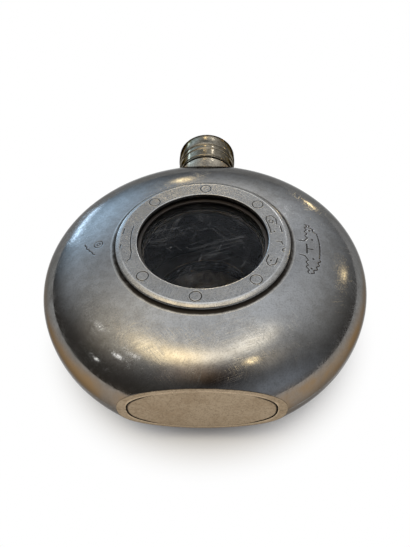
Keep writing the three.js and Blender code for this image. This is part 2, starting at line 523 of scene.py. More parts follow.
class Effects:
    """The effects that several finishes share, each a node group made once.

    A pair called a rise is the value of a cloudy pattern where the effect starts, and where it is full.
    Clouds, pits and patches are counted in a metre.
    """

    FINER_CLOUD = 9.0
    FINER_SHARE = 0.45
    TARNISH_RISE = (0.38, 0.64)
    PITS = 2600.0
    PIT_RISE = (0.44, 0.72)
    PIT_SHADE = 0.35

    SCRATCHES = (
        ScratchSet(turn=0.35, along=70.0, across=2600.0),
        ScratchSet(turn=1.25, along=110.0, across=1900.0),
        ScratchSet(turn=2.3, along=50.0, across=3300.0),
    )
    SCRATCH_LEVEL = 0.5
    SCRATCH_WIDTH = 0.035
    SCRATCH_PATCHES = 90.0
    PATCHES_BY_TURN = 40.0
    SCRATCH_RISE = (0.42, 0.66)

    BROADER_GRAIN = 0.14
    GRAIN_SHARE = 0.5

    # The painted brown reflection of a table, low on the body, comes in clouds.
    REFLECTION_CLOUD = 75.0
    REFLECTION_RISE = (0.36, 0.6)
    REFLECTION_LEAST = 0.5
    REFLECTION_MORE = 0.6
    # Dirt in grooves and painted shade, both marked as groove, are patchy.
    DIRT_CLOUD = 900.0
    DIRT_LEAST = 0.55
    DIRT_MORE = 0.7
    DIRT_RISE = (0.12, 0.62)

    WEAR_CLOUD = 420.0
    WEAR_RISE = (0.25, 0.6)
    WEAR_POLISH = 0.5

    def __init__(self) -> None:
        """Makes the groups."""
        self.tarnish = self.make_tarnish()
        self.hairlines = self.make_hairlines()
        self.grain = self.make_grain()
        self.reflection_dirt_and_shade = self.make_reflection_dirt_and_shade()
        self.worn = self.make_worn()

    def make_tarnish(self) -> bpy.types.NodeTree:
        """Makes clouds of tarnish and fine dark pits on a metal, or stain on another stuff.

        Returns:
            A group that gives a colour, and a mask that is 1 where the tarnish is full.
        """
        inputs = {
            "Clean": (0.3, 0.3, 0.3), "Tarnish": (0.1, 0.1, 0.1),
            "Scale": 60.0, "Amount": 0.5, "Speckle": 0.0,
        }
        nodes = new_group("tarnish", inputs, {"Color": "Color", "Mask": "Float"})
        given = nodes.given
        place = nodes.place()
        broad = nodes.noise(place, given["Scale"], detail=3.0)
        finer = nodes.math("MULTIPLY", given["Scale"], self.FINER_CLOUD)
        fine = nodes.noise(place, finer, detail=5.0, roughness=0.6)
        broad_part = nodes.math("MULTIPLY", broad, 1 - self.FINER_SHARE)
        cloud = nodes.math("MULTIPLY_ADD", fine, self.FINER_SHARE, broad_part)
        mask = nodes.math("MULTIPLY", nodes.rise(cloud, *self.TARNISH_RISE), given["Amount"])
        clouded = nodes.between(mask, given["Clean"], given["Tarnish"])
        pits = nodes.rise(nodes.noise(place, self.PITS, detail=2.0, roughness=0.7), *self.PIT_RISE)
        wired = {0: given["Tarnish"], "Scale": self.PIT_SHADE}
        darker = nodes.add("ShaderNodeVectorMath", wired, operation="SCALE").outputs[0]
        colour = nodes.between(nodes.math("MULTIPLY", pits, given["Speckle"]), clouded, darker)
        return nodes.put_out({"Color": colour, "Mask": mask})

    def make_hairlines(self) -> bpy.types.NodeTree:
        """Makes fine scratches in several directions.

        Returns:
            A group that gives a mask, which is 1 in a scratch.
        """
        nodes = new_group("hairlines", {"Scale": 1.0, "Spread": 0.5}, {"Mask": "Float"})
        given = nodes.given
        place = nodes.place()
        total = None
        for scratch in self.SCRATCHES:
            size = (1 / scratch.along, 1 / scratch.across, 1 / scratch.along)
            wired = {"Vector": place, "Rotation": (0.0, 0.0, scratch.turn), "Scale": size}
            stretched = nodes.add("ShaderNodeMapping", wired, vector_type="TEXTURE").outputs[0]
            pattern = nodes.noise(stretched, given["Scale"], detail=2.0)
            off_line = nodes.math("ABSOLUTE", nodes.math("SUBTRACT", pattern, self.SCRATCH_LEVEL))
            line = nodes.math("SUBTRACT", 1.0, nodes.rise(off_line, 0.0, self.SCRATCH_WIDTH))
            patches = nodes.noise(place, self.SCRATCH_PATCHES + self.PATCHES_BY_TURN * scratch.turn)
            line = nodes.math("MULTIPLY", line, nodes.rise(patches, *self.SCRATCH_RISE))
            total = line if total is None else nodes.math("MAXIMUM", total, line)
        return nodes.put_out({"Mask": nodes.math("MULTIPLY", total, given["Spread"])})

    def make_grain(self) -> bpy.types.NodeTree:
        """Makes the fine uneven skin of old soft metal.

        Returns:
            A group that gives a height, 0 to 1.
        """
        nodes = new_group("grain", {"Scale": 1400.0}, {"Height": "Float"})
        scale = nodes.given["Scale"]
        place = nodes.place()
        fine = nodes.noise(place, scale, detail=3.0, roughness=0.6)
        broad = nodes.noise(place, nodes.math("MULTIPLY", scale, self.BROADER_GRAIN), detail=2.0)
        fine_part = nodes.math("MULTIPLY", fine, 1 - self.GRAIN_SHARE)
        return nodes.put_out({"Height": nodes.math("MULTIPLY_ADD", broad, self.GRAIN_SHARE, fine_part)})

    def make_reflection_dirt_and_shade(self) -> bpy.types.NodeTree:
        """Makes the painted brown reflection of a table low on the body, and the darkening marked as groove:
        dirt in engraved lines and grooves, and painted shade.

        Returns:
            A group that gives a colour.
        """
        inputs = {
            "Metal": (0.3, 0.3, 0.3), "Bloom": (0.25, 0.18, 0.1), "Dirt": (0.01, 0.01, 0.01),
            "Low": 0.0, "Groove": 0.0,
        }
        nodes = new_group("reflection_dirt_and_shade", inputs, {"Color": "Color"})
        given = nodes.given
        place = nodes.place()
        clouds = nodes.rise(nodes.noise(place, self.REFLECTION_CLOUD), *self.REFLECTION_RISE)
        cloudy = nodes.math("MULTIPLY_ADD", clouds, self.REFLECTION_MORE, self.REFLECTION_LEAST)
        with_reflection = nodes.between(nodes.math("MULTIPLY", given["Low"], cloudy), given["Metal"], given["Bloom"])
        uneven_dark = nodes.noise(place, self.DIRT_CLOUD)
        patchy = nodes.math("MULTIPLY_ADD", uneven_dark, self.DIRT_MORE, self.DIRT_LEAST)
        share = nodes.rise(nodes.math("MULTIPLY", given["Groove"], patchy), *self.DIRT_RISE)
        return nodes.put_out({"Color": nodes.between(share, with_reflection, given["Dirt"])})

    def make_worn(self) -> bpy.types.NodeTree:
        """Makes the bright wear along edges.

        Returns:
            A group that gives a colour and a roughness.
        """
        inputs = {"Metal": (0.3, 0.3, 0.3), "Bright": (0.5, 0.5, 0.5), "Dull": 0.3, "Rub": 0.0}
        nodes = new_group("worn_edges", inputs, {"Color": "Color", "Roughness": "Float"})
        given = nodes.given
        uneven = nodes.rise(nodes.noise(nodes.place(), self.WEAR_CLOUD), *self.WEAR_RISE)
        share = nodes.math("MULTIPLY", given["Rub"], uneven)
        colour = nodes.between(share, given["Metal"], given["Bright"])
        smoother = nodes.math("MULTIPLY_ADD", share, -self.WEAR_POLISH, 1.0)
        return nodes.put_out({"Color": colour, "Roughness": nodes.math("MULTIPLY", given["Dull"], smoother)})


def new_material(name: str) -> tuple[bpy.types.Material, Nodes, bpy.types.Node]:
    """Starts a material.

    Args:
        name: The material's name.

    Returns:
        The material, its nodes and its Principled shader.
    """
    material = bpy.data.materials.new(name)
    material.use_nodes = True
    return material, Nodes(material.node_tree), material.node_tree.nodes["Principled BSDF"]


@dataclass(frozen=True)
class PewterFinish:
    """Aged pewter.

    Attributes:
        name: The finish's name.
        clean: Colour where it is rubbed.
        tarnish: Colour where it has dulled.
        amount: How far it has dulled, 0 to 1.
        cloud: Clouds of tarnish in a metre.
        polish: Roughness where it is rubbed.
        dull: Roughness where it has dulled.
        speckle: How dark its fine pits are, 0 to 1.
        scratches: How much the scratches show, 0 to 1.
        relief: Depth of its uneven skin.
        bloom: Colour of the painted brown reflection of a table, low on the body.
        bloom_amount: How much of the painted reflection there is, 0 to 1.
        edge: How bright it is at a glancing angle, 0 to 1.
        wear: How far its edges are worn bright, 0 to 1.
        turned_about: The axis of its turning marks, or None.
    """

    name: str
    clean: Colour
    tarnish: Colour
    amount: float = 0.7
    cloud: float = 55.0
    polish: float = 0.2
    dull: float = 0.36
    speckle: float = 0.5
    scratches: float = 0.6
    relief: float = 0.02 * MM
    bloom: Colour = (0.255, 0.172, 0.096)
    bloom_amount: float = 0.95
    edge: float = 0.4
    wear: float = 1.0
    turned_about: Axis | None = None

    # Colour of dirt in grooves and of painted shade, both marked as groove.
    DIRT = (0.02, 0.017, 0.014)
    WORN_GAIN = 1.35
    SCRATCH_DULL = 0.18
    DIRT_DULL = 0.3
    SCRATCH_DEPTH = 0.4
    TURNING_LINES = 2600.0
    TURNING_DEPTH = 0.12

    def turning_marks(self, nodes: Nodes) -> bpy.types.NodeSocket:
        """Makes the fine rings that a lathe leaves.

        Args:
            nodes: The material's nodes.

        Returns:
            Their height, 0 to 1.
        """
        parts = nodes.add("ShaderNodeSeparateXYZ", {0: nodes.place()}).outputs
        if self.turned_about is Axis.NECK:
            level = parts["Y"]
        else:
            along = nodes.math("SUBTRACT", parts["Y"], float(MIDDLE[1]))
            across = nodes.math("MULTIPLY", parts["X"], parts["X"])
            level = nodes.math("SQRT", nodes.math("MULTIPLY_ADD", along, along, across))
        line = nodes.add("ShaderNodeCombineXYZ", {"X": level}).outputs[0]
        return nodes.noise(line, self.TURNING_LINES, detail=3.0, roughness=0.7)

    def make(self, effects: Effects) -> bpy.types.Material:
        """Makes the material.

        Args:
            effects: The shared groups.

        Returns:
            The material.
        """
        material, nodes, shader = new_material(self.name)
        wired = {
            "Clean": opaque(self.clean), "Tarnish": opaque(self.tarnish),
            "Scale": self.cloud, "Amount": self.amount, "Speckle": self.speckle,
        }
        tarnish = nodes.group(effects.tarnish, wired)
        # Groove marks dirt in grooves and painted shade; low marks the painted brown reflection of a table.
        groove = nodes.marked("groove")
        low = nodes.math("MULTIPLY", nodes.marked("low"), self.bloom_amount)
        wired = {
            "Metal": tarnish["Color"], "Bloom": opaque(self.bloom), "Dirt": opaque(self.DIRT),
            "Low": low, "Groove": groove,
        }
        reflection_dirt_and_shade = nodes.group(effects.reflection_dirt_and_shade, wired)
        lines = nodes.group(effects.hairlines, {"Spread": self.scratches})
        rough = nodes.math("MULTIPLY_ADD", tarnish["Mask"], self.dull - self.polish, self.polish)
        rough = nodes.math("MULTIPLY_ADD", lines["Mask"], self.SCRATCH_DULL, rough)
        rough = nodes.math("MULTIPLY_ADD", groove, self.DIRT_DULL, rough)
        bright = opaque(tuple(part * self.WORN_GAIN for part in self.clean))
        rub = nodes.math("MULTIPLY", nodes.marked("rub"), self.wear)
        wired = {"Metal": reflection_dirt_and_shade["Color"], "Bright": bright, "Dull": rough, "Rub": rub}
        worn = nodes.group(effects.worn, wired)
        grain = nodes.group(effects.grain, {})["Height"]
        height = nodes.math("MULTIPLY_ADD", lines["Mask"], -self.SCRATCH_DEPTH, grain)
        if self.turned_about is not None:
            height = nodes.math("MULTIPLY_ADD", self.turning_marks(nodes), self.TURNING_DEPTH, height)
        bump = nodes.add("ShaderNodeBump", {"Height": height, "Distance": self.relief, "Strength": 1.0})
        wired = {
            "Base Color": worn["Color"], "Roughness": worn["Roughness"], "Normal": bump.outputs[0],
            "Metallic": 1.0, "Specular Tint": opaque((self.edge, self.edge, self.edge)),
        }
        nodes.feed(shader, wired)
        return material


@dataclass(frozen=True)
class GlassFinish:
    """Window glass with a thin film on it.

    Attributes:
        name: The finish's name.
        clear: Colour of the clean glass.
        film: Colour where the film is thick.
        amount: How much film there is, 0 to 1.
    """

    name: str
    clear: Colour
    film: Colour
    amount: float

    INDEX = 1.5
    GLANCE = (0.0, 0.0, 0.0)
    FILM_CLOUD = 70.0
    HAZE = 0.015
    SMEARS = 0.09
    SCRATCH_SIZE = 0.35
    SCRATCHES = 0.5
    SPECKS = 1300.0
    SPECK_RISE = (0.7, 0.78)
    MARK_ROUGHNESS = 0.5
    MARK_INDEX = 1.8

    def make(self, effects: Effects) -> bpy.types.Material:
        """Makes the material.

        Args:
            effects: The shared groups.

        Returns:
            The material.
        """
        material, nodes, shader = new_material(self.name)
        wired = {
            "Clean": opaque(self.clear), "Tarnish": opaque(self.film),
            "Scale": self.FILM_CLOUD, "Amount": self.amount,
        }
        film = nodes.group(effects.tarnish, wired)
        lines = nodes.group(effects.hairlines, {"Scale": self.SCRATCH_SIZE, "Spread": self.SCRATCHES})
        smears = nodes.math("MULTIPLY", film["Mask"], self.SMEARS)
        specks = nodes.rise(nodes.noise(nodes.place(), self.SPECKS, detail=1.0), *self.SPECK_RISE)
        marks = nodes.math("MAXIMUM", nodes.math("MAXIMUM", lines["Mask"], specks), smears)
        haze = nodes.math("MULTIPLY_ADD", marks, 1.0 - self.HAZE, self.HAZE)
        inner_face = nodes.add("ShaderNodeNewGeometry").outputs["Backfacing"]
        outer_face = nodes.math("SUBTRACT", 1.0, inner_face)
        wired = {
            "Base Color": film["Color"], "Roughness": 0.0, "Transmission Weight": 1.0,
            "IOR": self.INDEX, "Specular Tint": opaque(self.GLANCE),
            "Coat Weight": nodes.math("MULTIPLY", haze, outer_face),
            "Coat Roughness": self.MARK_ROUGHNESS, "Coat IOR": self.MARK_INDEX,
        }
        nodes.feed(shader, wired)
        return material


@dataclass(frozen=True)
class PlainFinish:
    """A dull stuff that isn't metal, with a fine grain.

    Attributes:
        name: The finish's name.
        light: Its lighter colour.
        dark: Its darker colour.
        grain: Clouds of colour in a metre.
        roughness: How dull it is.
        relief: Depth of its grain.
    """

    name: str
    light: Colour
    dark: Colour
    grain: float
    roughness: float
    relief: float

    ROUGH_SPAN = 0.12
    BUMP = 0.6

    def make(self, effects: Effects) -> bpy.types.Material:
        """Makes the material.

        Args:
            effects: The shared groups.

        Returns:
            The material.
        """
        material, nodes, shader = new_material(self.name)
        wired = {
            "Clean": opaque(self.light), "Tarnish": opaque(self.dark),
            "Scale": self.grain, "Amount": 1.0,
        }
        grain = nodes.group(effects.tarnish, wired)
        least = self.roughness - self.ROUGH_SPAN / 2
        rough = nodes.math("MULTIPLY_ADD", grain["Mask"], self.ROUGH_SPAN, least)
        wired = {"Height": grain["Mask"], "Distance": self.relief, "Strength": self.BUMP}
        bump = nodes.add("ShaderNodeBump", wired).outputs[0]
        nodes.feed(shader, {"Base Color": grain["Color"], "Roughness": rough, "Normal": bump})
        return material


class Finishes:
    """Every material of the flask, each made once."""

    def __init__(self) -> None:
        """Makes the materials."""
        effects = Effects()
        body = PewterFinish(
            "aged_pewter", (0.235, 0.235, 0.232), (0.16, 0.155, 0.146), polish=0.05, dull=0.12,
            speckle=0.3, scratches=0.9, relief=0.014 * MM,
        )
        trim = PewterFinish(
            "turned_pewter", (0.3, 0.295, 0.284), (0.225, 0.218, 0.204),
            polish=0.22, dull=0.34, turned_about=Axis.BODY,
        )
        neck = PewterFinish(
            "neck_pewter", (0.38, 0.335, 0.26), (0.18, 0.155, 0.12), polish=0.16, dull=0.26, wear=0.3,
            turned_about=Axis.NECK,
        )
        cap = PewterFinish(
            "cap_pewter", (0.25, 0.226, 0.18), (0.11, 0.094, 0.07), amount=0.8, cloud=120.0,
            polish=0.07, dull=0.12, relief=0.012 * MM, bloom_amount=0.0, edge=0.15, wear=0.15,
            turned_about=Axis.NECK,
        )
        # Warm brown pewter for the foot plate and the foot's rim; its warmth is partly a painted reflection
        # of a warm table.
        plate = PewterFinish(
            "foot_pewter_painted_warm", (0.42, 0.328, 0.227), (0.33, 0.243, 0.157), cloud=90.0,
            polish=0.3, dull=0.42, bloom_amount=0.0,
        )
        # Dark pewter for the seat ring; its darkness is painted shade under the glass.
        seat = PewterFinish(
            "seat_painted_shade", (0.07, 0.056, 0.042), (0.03, 0.023, 0.017),
            polish=0.35, dull=0.5, bloom_amount=0.0, wear=0.0,
        )
        # The inside of the shells is painted near black: painted shade for the dark inside of the flask.
        inner = PewterFinish(
            "inside_painted_shade", (0.002, 0.0018, 0.0016), (0.001, 0.0009, 0.0008), amount=1.0,
            polish=0.5, dull=0.7, speckle=0.0, scratches=0.0, relief=0.0,
            bloom_amount=0.0, edge=0.0, wear=0.0,
        )
        self.body = body.make(effects)
        self.trim = trim.make(effects)
        self.neck = neck.make(effects)
        self.cap = cap.make(effects)
        self.plate = plate.make(effects)
        self.seat = seat.make(effects)
        self.inner = inner.make(effects)
        front_glass = GlassFinish("front_glass", (0.9, 0.92, 0.93), (0.75, 0.75, 0.74), amount=0.4)
        # The back glass's brown tint paints in the dim brown of a shaded table seen through it.
        back_glass = GlassFinish("back_glass_painted_table", (0.4, 0.36, 0.3), (0.16, 0.11, 0.07), amount=0.9)
        seal = PlainFinish(
            "aged_rubber", (0.026, 0.019, 0.014), (0.012, 0.009, 0.007),
            grain=400.0, roughness=0.5, relief=0.03 * MM,
        )
        rubber = PlainFinish(
            "black_rubber", (0.02, 0.02, 0.02), (0.01, 0.01, 0.01),
            grain=400.0, roughness=0.62, relief=0.03 * MM,
        )
        cork = PlainFinish(
            "cork", (0.5, 0.32, 0.17), (0.27, 0.15, 0.07),
            grain=500.0, roughness=0.85, relief=0.12 * MM,
        )
        self.front_glass = front_glass.make(effects)
        self.back_glass = back_glass.make(effects)
        self.seal = seal.make(effects)
        self.rubber = rubber.make(effects)
        self.cork = cork.make(effects)


@dataclass(frozen=True)
class Dome:
    """Half of the body: a rounded-off ellipse turned about the porthole's axis.

    Attributes:
        radius: Radius at the seam.
        half_depth: Height, as if it had no porthole.
        power: 2 would be an ellipse, more is squarer at the shoulder.
    """

    radius: float
    half_depth: float = 16.8 * MM
    power: float = 2.45

    def shrunk(self, by: float) -> "Dome":
        """Gives the dome that lies inside this one."""
        return Dome(self.radius - by, self.half_depth - by, self.power)

    def height(self, out: np.ndarray) -> np.ndarray:
        """Gives the height at a distance from the axis."""
        left = np.clip(1 - (out / self.radius) ** self.power, 0, None)
        return self.half_depth * left ** (1 / self.power)

    def reach(self, height: np.ndarray) -> np.ndarray:
        """Gives the distance from the axis at a height."""
        left = np.clip(1 - np.abs(height / self.half_depth) ** self.power, 0, None)
        return self.radius * left ** (1 / self.power)

    def swing(self, out: np.ndarray) -> np.ndarray:
        """Gives the place along a meridian, 0 at the seam, at a distance from the axis."""
        return np.arccos(np.clip(out / self.radius, 0, 1) ** (self.power / 2))

    def points(self, swing: np.ndarray, angles: np.ndarray) -> np.ndarray:
        """Gives the points at places along meridians.

        Args:
            swing: Places along the meridians, by ring and column.
            angles: The angle of each column.

        Returns:
            Points by ring, column and coordinate.
        """
        out = self.radius * np.cos(swing) ** (2 / self.power)
        height = self.half_depth * np.clip(np.sin(swing), 0, None) ** (2 / self.power)
        return np.stack([out * np.cos(angles), out * np.sin(angles), height], axis=-1)

    def normals(self, points: np.ndarray) -> np.ndarray:
        """Works out the way out of the dome at points on it.

        Args:
            points: The points, whose last index is the coordinate.

        Returns:
            A unit vector for each point.
        """
        out = np.linalg.norm(points[..., :2], axis=-1, keepdims=True)
        level = (out / self.radius) ** (self.power - 1) / self.radius
        upward = (points[..., 2:] / self.half_depth) ** (self.power - 1) / self.half_depth
        way = np.concatenate([points[..., :2] / out * level, upward], axis=-1)
        return way / np.linalg.norm(way, axis=-1, keepdims=True)

    def end_of_neck(self, out: np.ndarray, angles: np.ndarray) -> np.ndarray:
        """Gives how far along the neck the dome lies, round the neck's axis."""
        return np.sqrt(self.reach(out * np.sin(angles)) ** 2 - (out * np.cos(angles)) ** 2)


SHELL_WALL = 0.9 * MM
PORTHOLE_HOLE = 19.6 * MM
THREAD_LEAD = 2.5 * MM
OUTSIDE = Dome(span("front_shell", 0)[1])
INSIDE = OUTSIDE.shrunk(SHELL_WALL)
FOOT = -span("base_plate", 1)[0]


@dataclass(frozen=True)
class Stroke:
    """A line cut in the metal, drawn round the porthole.

    Attributes:
        points: Distance from the porthole's axis in millimetres and angle in degrees.
        wave: How far the line waves to each side, in millimetres.
        width: Half of its width, in millimetres.
    """

    points: tuple[Point, ...]
    wave: float = 0.0
    width: float = 0.21

    STEP = 0.25
    WAVE_LENGTH = 1.5

    def path(self) -> np.ndarray:
        """Works out the line in plan.

        Returns:
            Points as rows of X and Y, in metres.
        """
        places = np.array(self.points)
        legs = np.hypot(np.diff(places[:, 0]), np.radians(np.diff(places[:, 1])) * places[:-1, 0])
        walked = np.concatenate([[0.0], np.cumsum(legs)])
        steps = np.linspace(0, walked[-1], max(2, int(walked[-1] / self.STEP) + 1))
        out = np.interp(steps, walked, places[:, 0])
        out = out + self.wave * np.sin(steps * TURN / self.WAVE_LENGTH)
        angle = np.radians(np.interp(steps, walked, places[:, 1]))
        return np.stack([out * np.cos(angle), out * np.sin(angle)], axis=-1) * MM


CIRCLE_POINTS = 25
DOT_LENGTH = 0.01


def ring_stroke(out: float, degrees: float, radius: float, width: float = 0.19) -> Stroke:
    """Draws a small circle.

    Args:
        out: Distance of its middle from the porthole's axis, in millimetres.
        degrees: Angle of its middle.
        radius: Its radius, in millimetres.
        width: Half the width of its line, in millimetres.

    Returns:
        The circle as a closed stroke.
    """
    round_it = np.linspace(0, TURN, CIRCLE_POINTS)
    across = out * math.cos(math.radians(degrees)) + radius * np.cos(round_it)
    upward = out * math.sin(math.radians(degrees)) + radius * np.sin(round_it)
    angles = np.degrees(np.unwrap(np.arctan2(upward, across)))
    return Stroke(tuple(zip(np.hypot(across, upward), angles)), width=width)


def dot_stroke(out: float, degrees: float, radius: float = 0.44) -> Stroke:
    """Draws a punched dot."""
    return Stroke(((out, degrees), (out + DOT_LENGTH, degrees)), width=radius)


@dataclass(frozen=True)
class Engraving:
    """Lines cut in a face.

    Attributes:
        strokes: The lines.
        depth: How deep they are cut.
    """

    strokes: tuple[Stroke, ...]
    depth: float = 0.1 * MM

    def shares(self, plan: np.ndarray) -> np.ndarray:
        """Works out how deep in a line each point lies.

        Args:
            plan: Points whose last coordinate is X and Y, in metres.

        Returns:
            0 away from the lines to 1 in the middle of one.
        """
        places = plan.reshape(-1, 2)
        deepest = np.zeros(len(places))
        for stroke in self.strokes:
            path = stroke.path()
            width = stroke.width * MM
            near = np.all((places > path.min(0) - width) & (places < path.max(0) + width), axis=1)
            for start, stop in zip(path[:-1], path[1:]):
                leg = stop - start
                along = np.clip((places[near] - start) @ leg / max(leg @ leg, WELD**2), 0, 1)
                off = np.linalg.norm(places[near] - start - along[:, None] * leg, axis=1)
                deepest[near] = np.maximum(deepest[near], ease(1 - off / width))
        return deepest.reshape(plan.shape[:-1])


BOLT_ANGLES = (88.5, 40.5, -47.5, -94.0, -138.0, 134.0)
BOLT_OUT = 18.8
BOLT_RADIUS = 1.42
BOLT_LINE = 0.21

BEZEL_ORNAMENT = Engraving(
    tuple(ring_stroke(BOLT_OUT, angle, BOLT_RADIUS, BOLT_LINE) for angle in BOLT_ANGLES)
    + (
        Stroke(((17.2, 5.0), (17.3, 21.0), (18.0, 24.6), (19.3, 24.0), (19.8, 19.0), (19.3, 14.0))),
        ring_stroke(18.3, 18.0, 0.55),
        dot_stroke(18.1, 6.4),
        Stroke(((20.0, 11.5), (20.0, 5.0))),
        Stroke(((18.3, -4.5), (19.5, -4.5), (19.9, -7.5))),
        Stroke(((20.6, -10.5), (20.0, -12.2), (20.3, -14.2))),
        Stroke(((17.2, -20.5), (17.3, -27.5), (18.5, -31.0), (19.7, -27.5), (19.5, -21.5))),
        dot_stroke(18.3, -25.5),
        Stroke(((18.3, 166), (18.1, 180), (18.1, 196), (18.9, 202), (19.8, 203))),
        Stroke(((20.3, 170), (20.3, 176))),
        Stroke(((20.4, 186), (20.9, 192))),
    )
)

BODY_ORNAMENT = Engraving(
    (
        Stroke(((24.3, 1.2), (25.7, 1.2), (26.3, 3.0))),
        Stroke(((26.3, 3.0), (26.6, 9.0), (27.6, 14.6)), wave=0.28),
        Stroke(((27.9, 14.2), (28.6, 11.0), (29.0, 8.0)), wave=0.28),
        Stroke(((29.5, 7.6), (29.5, 0.0), (29.3, -9.6))),
        Stroke(((29.4, -10.4), (29.1, -16.0), (28.2, -20.8)), wave=0.28),
        Stroke(((26.3, -12.0), (26.6, -17.0), (27.6, -21.2)), wave=0.28),
        Stroke(((24.3, -10.2), (25.7, -10.2), (26.3, -12.0))),
        Stroke(((26.1, -1.0), (26.1, -8.0)), width=0.25),
        Stroke(((26.2, -4.5), (27.7, -4.3))),
        dot_stroke(27.8, 9.6),
        dot_stroke(27.8, 2.8),
        dot_stroke(27.8, -10.9),
        dot_stroke(27.8, -17.6),
        ring_stroke(26.6, 180.0, 1.1, 0.15),
        ring_stroke(26.6, 180.0, 0.45, 0.15),
        Stroke(((30.4, 178.4), (29.6, 181.6), (28.4, 184.4), (27.4, 187.2)), wave=0.12, width=0.17),
    )
)


ANGLE_DIGITS = 6


def columns_with(
    fine: tuple[Point, ...], fine_step: float, step: float, marks: tuple[float, ...] = ()
) -> np.ndarray:
    """Spreads columns round the body, close together where there is engraving.

    Args:
        fine: Stretches of close columns, in degrees.
        fine_step: The angle between those, in degrees.
        step: The angle between the others, in degrees.
        marks: Angles that have a column of their own.

    Returns:
        The angles in order, in radians.
    """
    angles = set(np.arange(-180.0, 180.0, step)) | set(marks)
    for start, stop in fine:
        angles = {angle for angle in angles if not start <= angle <= stop}
        angles |= set(np.arange(start, stop, fine_step))
    folded = sorted({round((angle + 180) % 360 - 180, ANGLE_DIGITS) for angle in angles})
    return np.radians(np.array(folded))


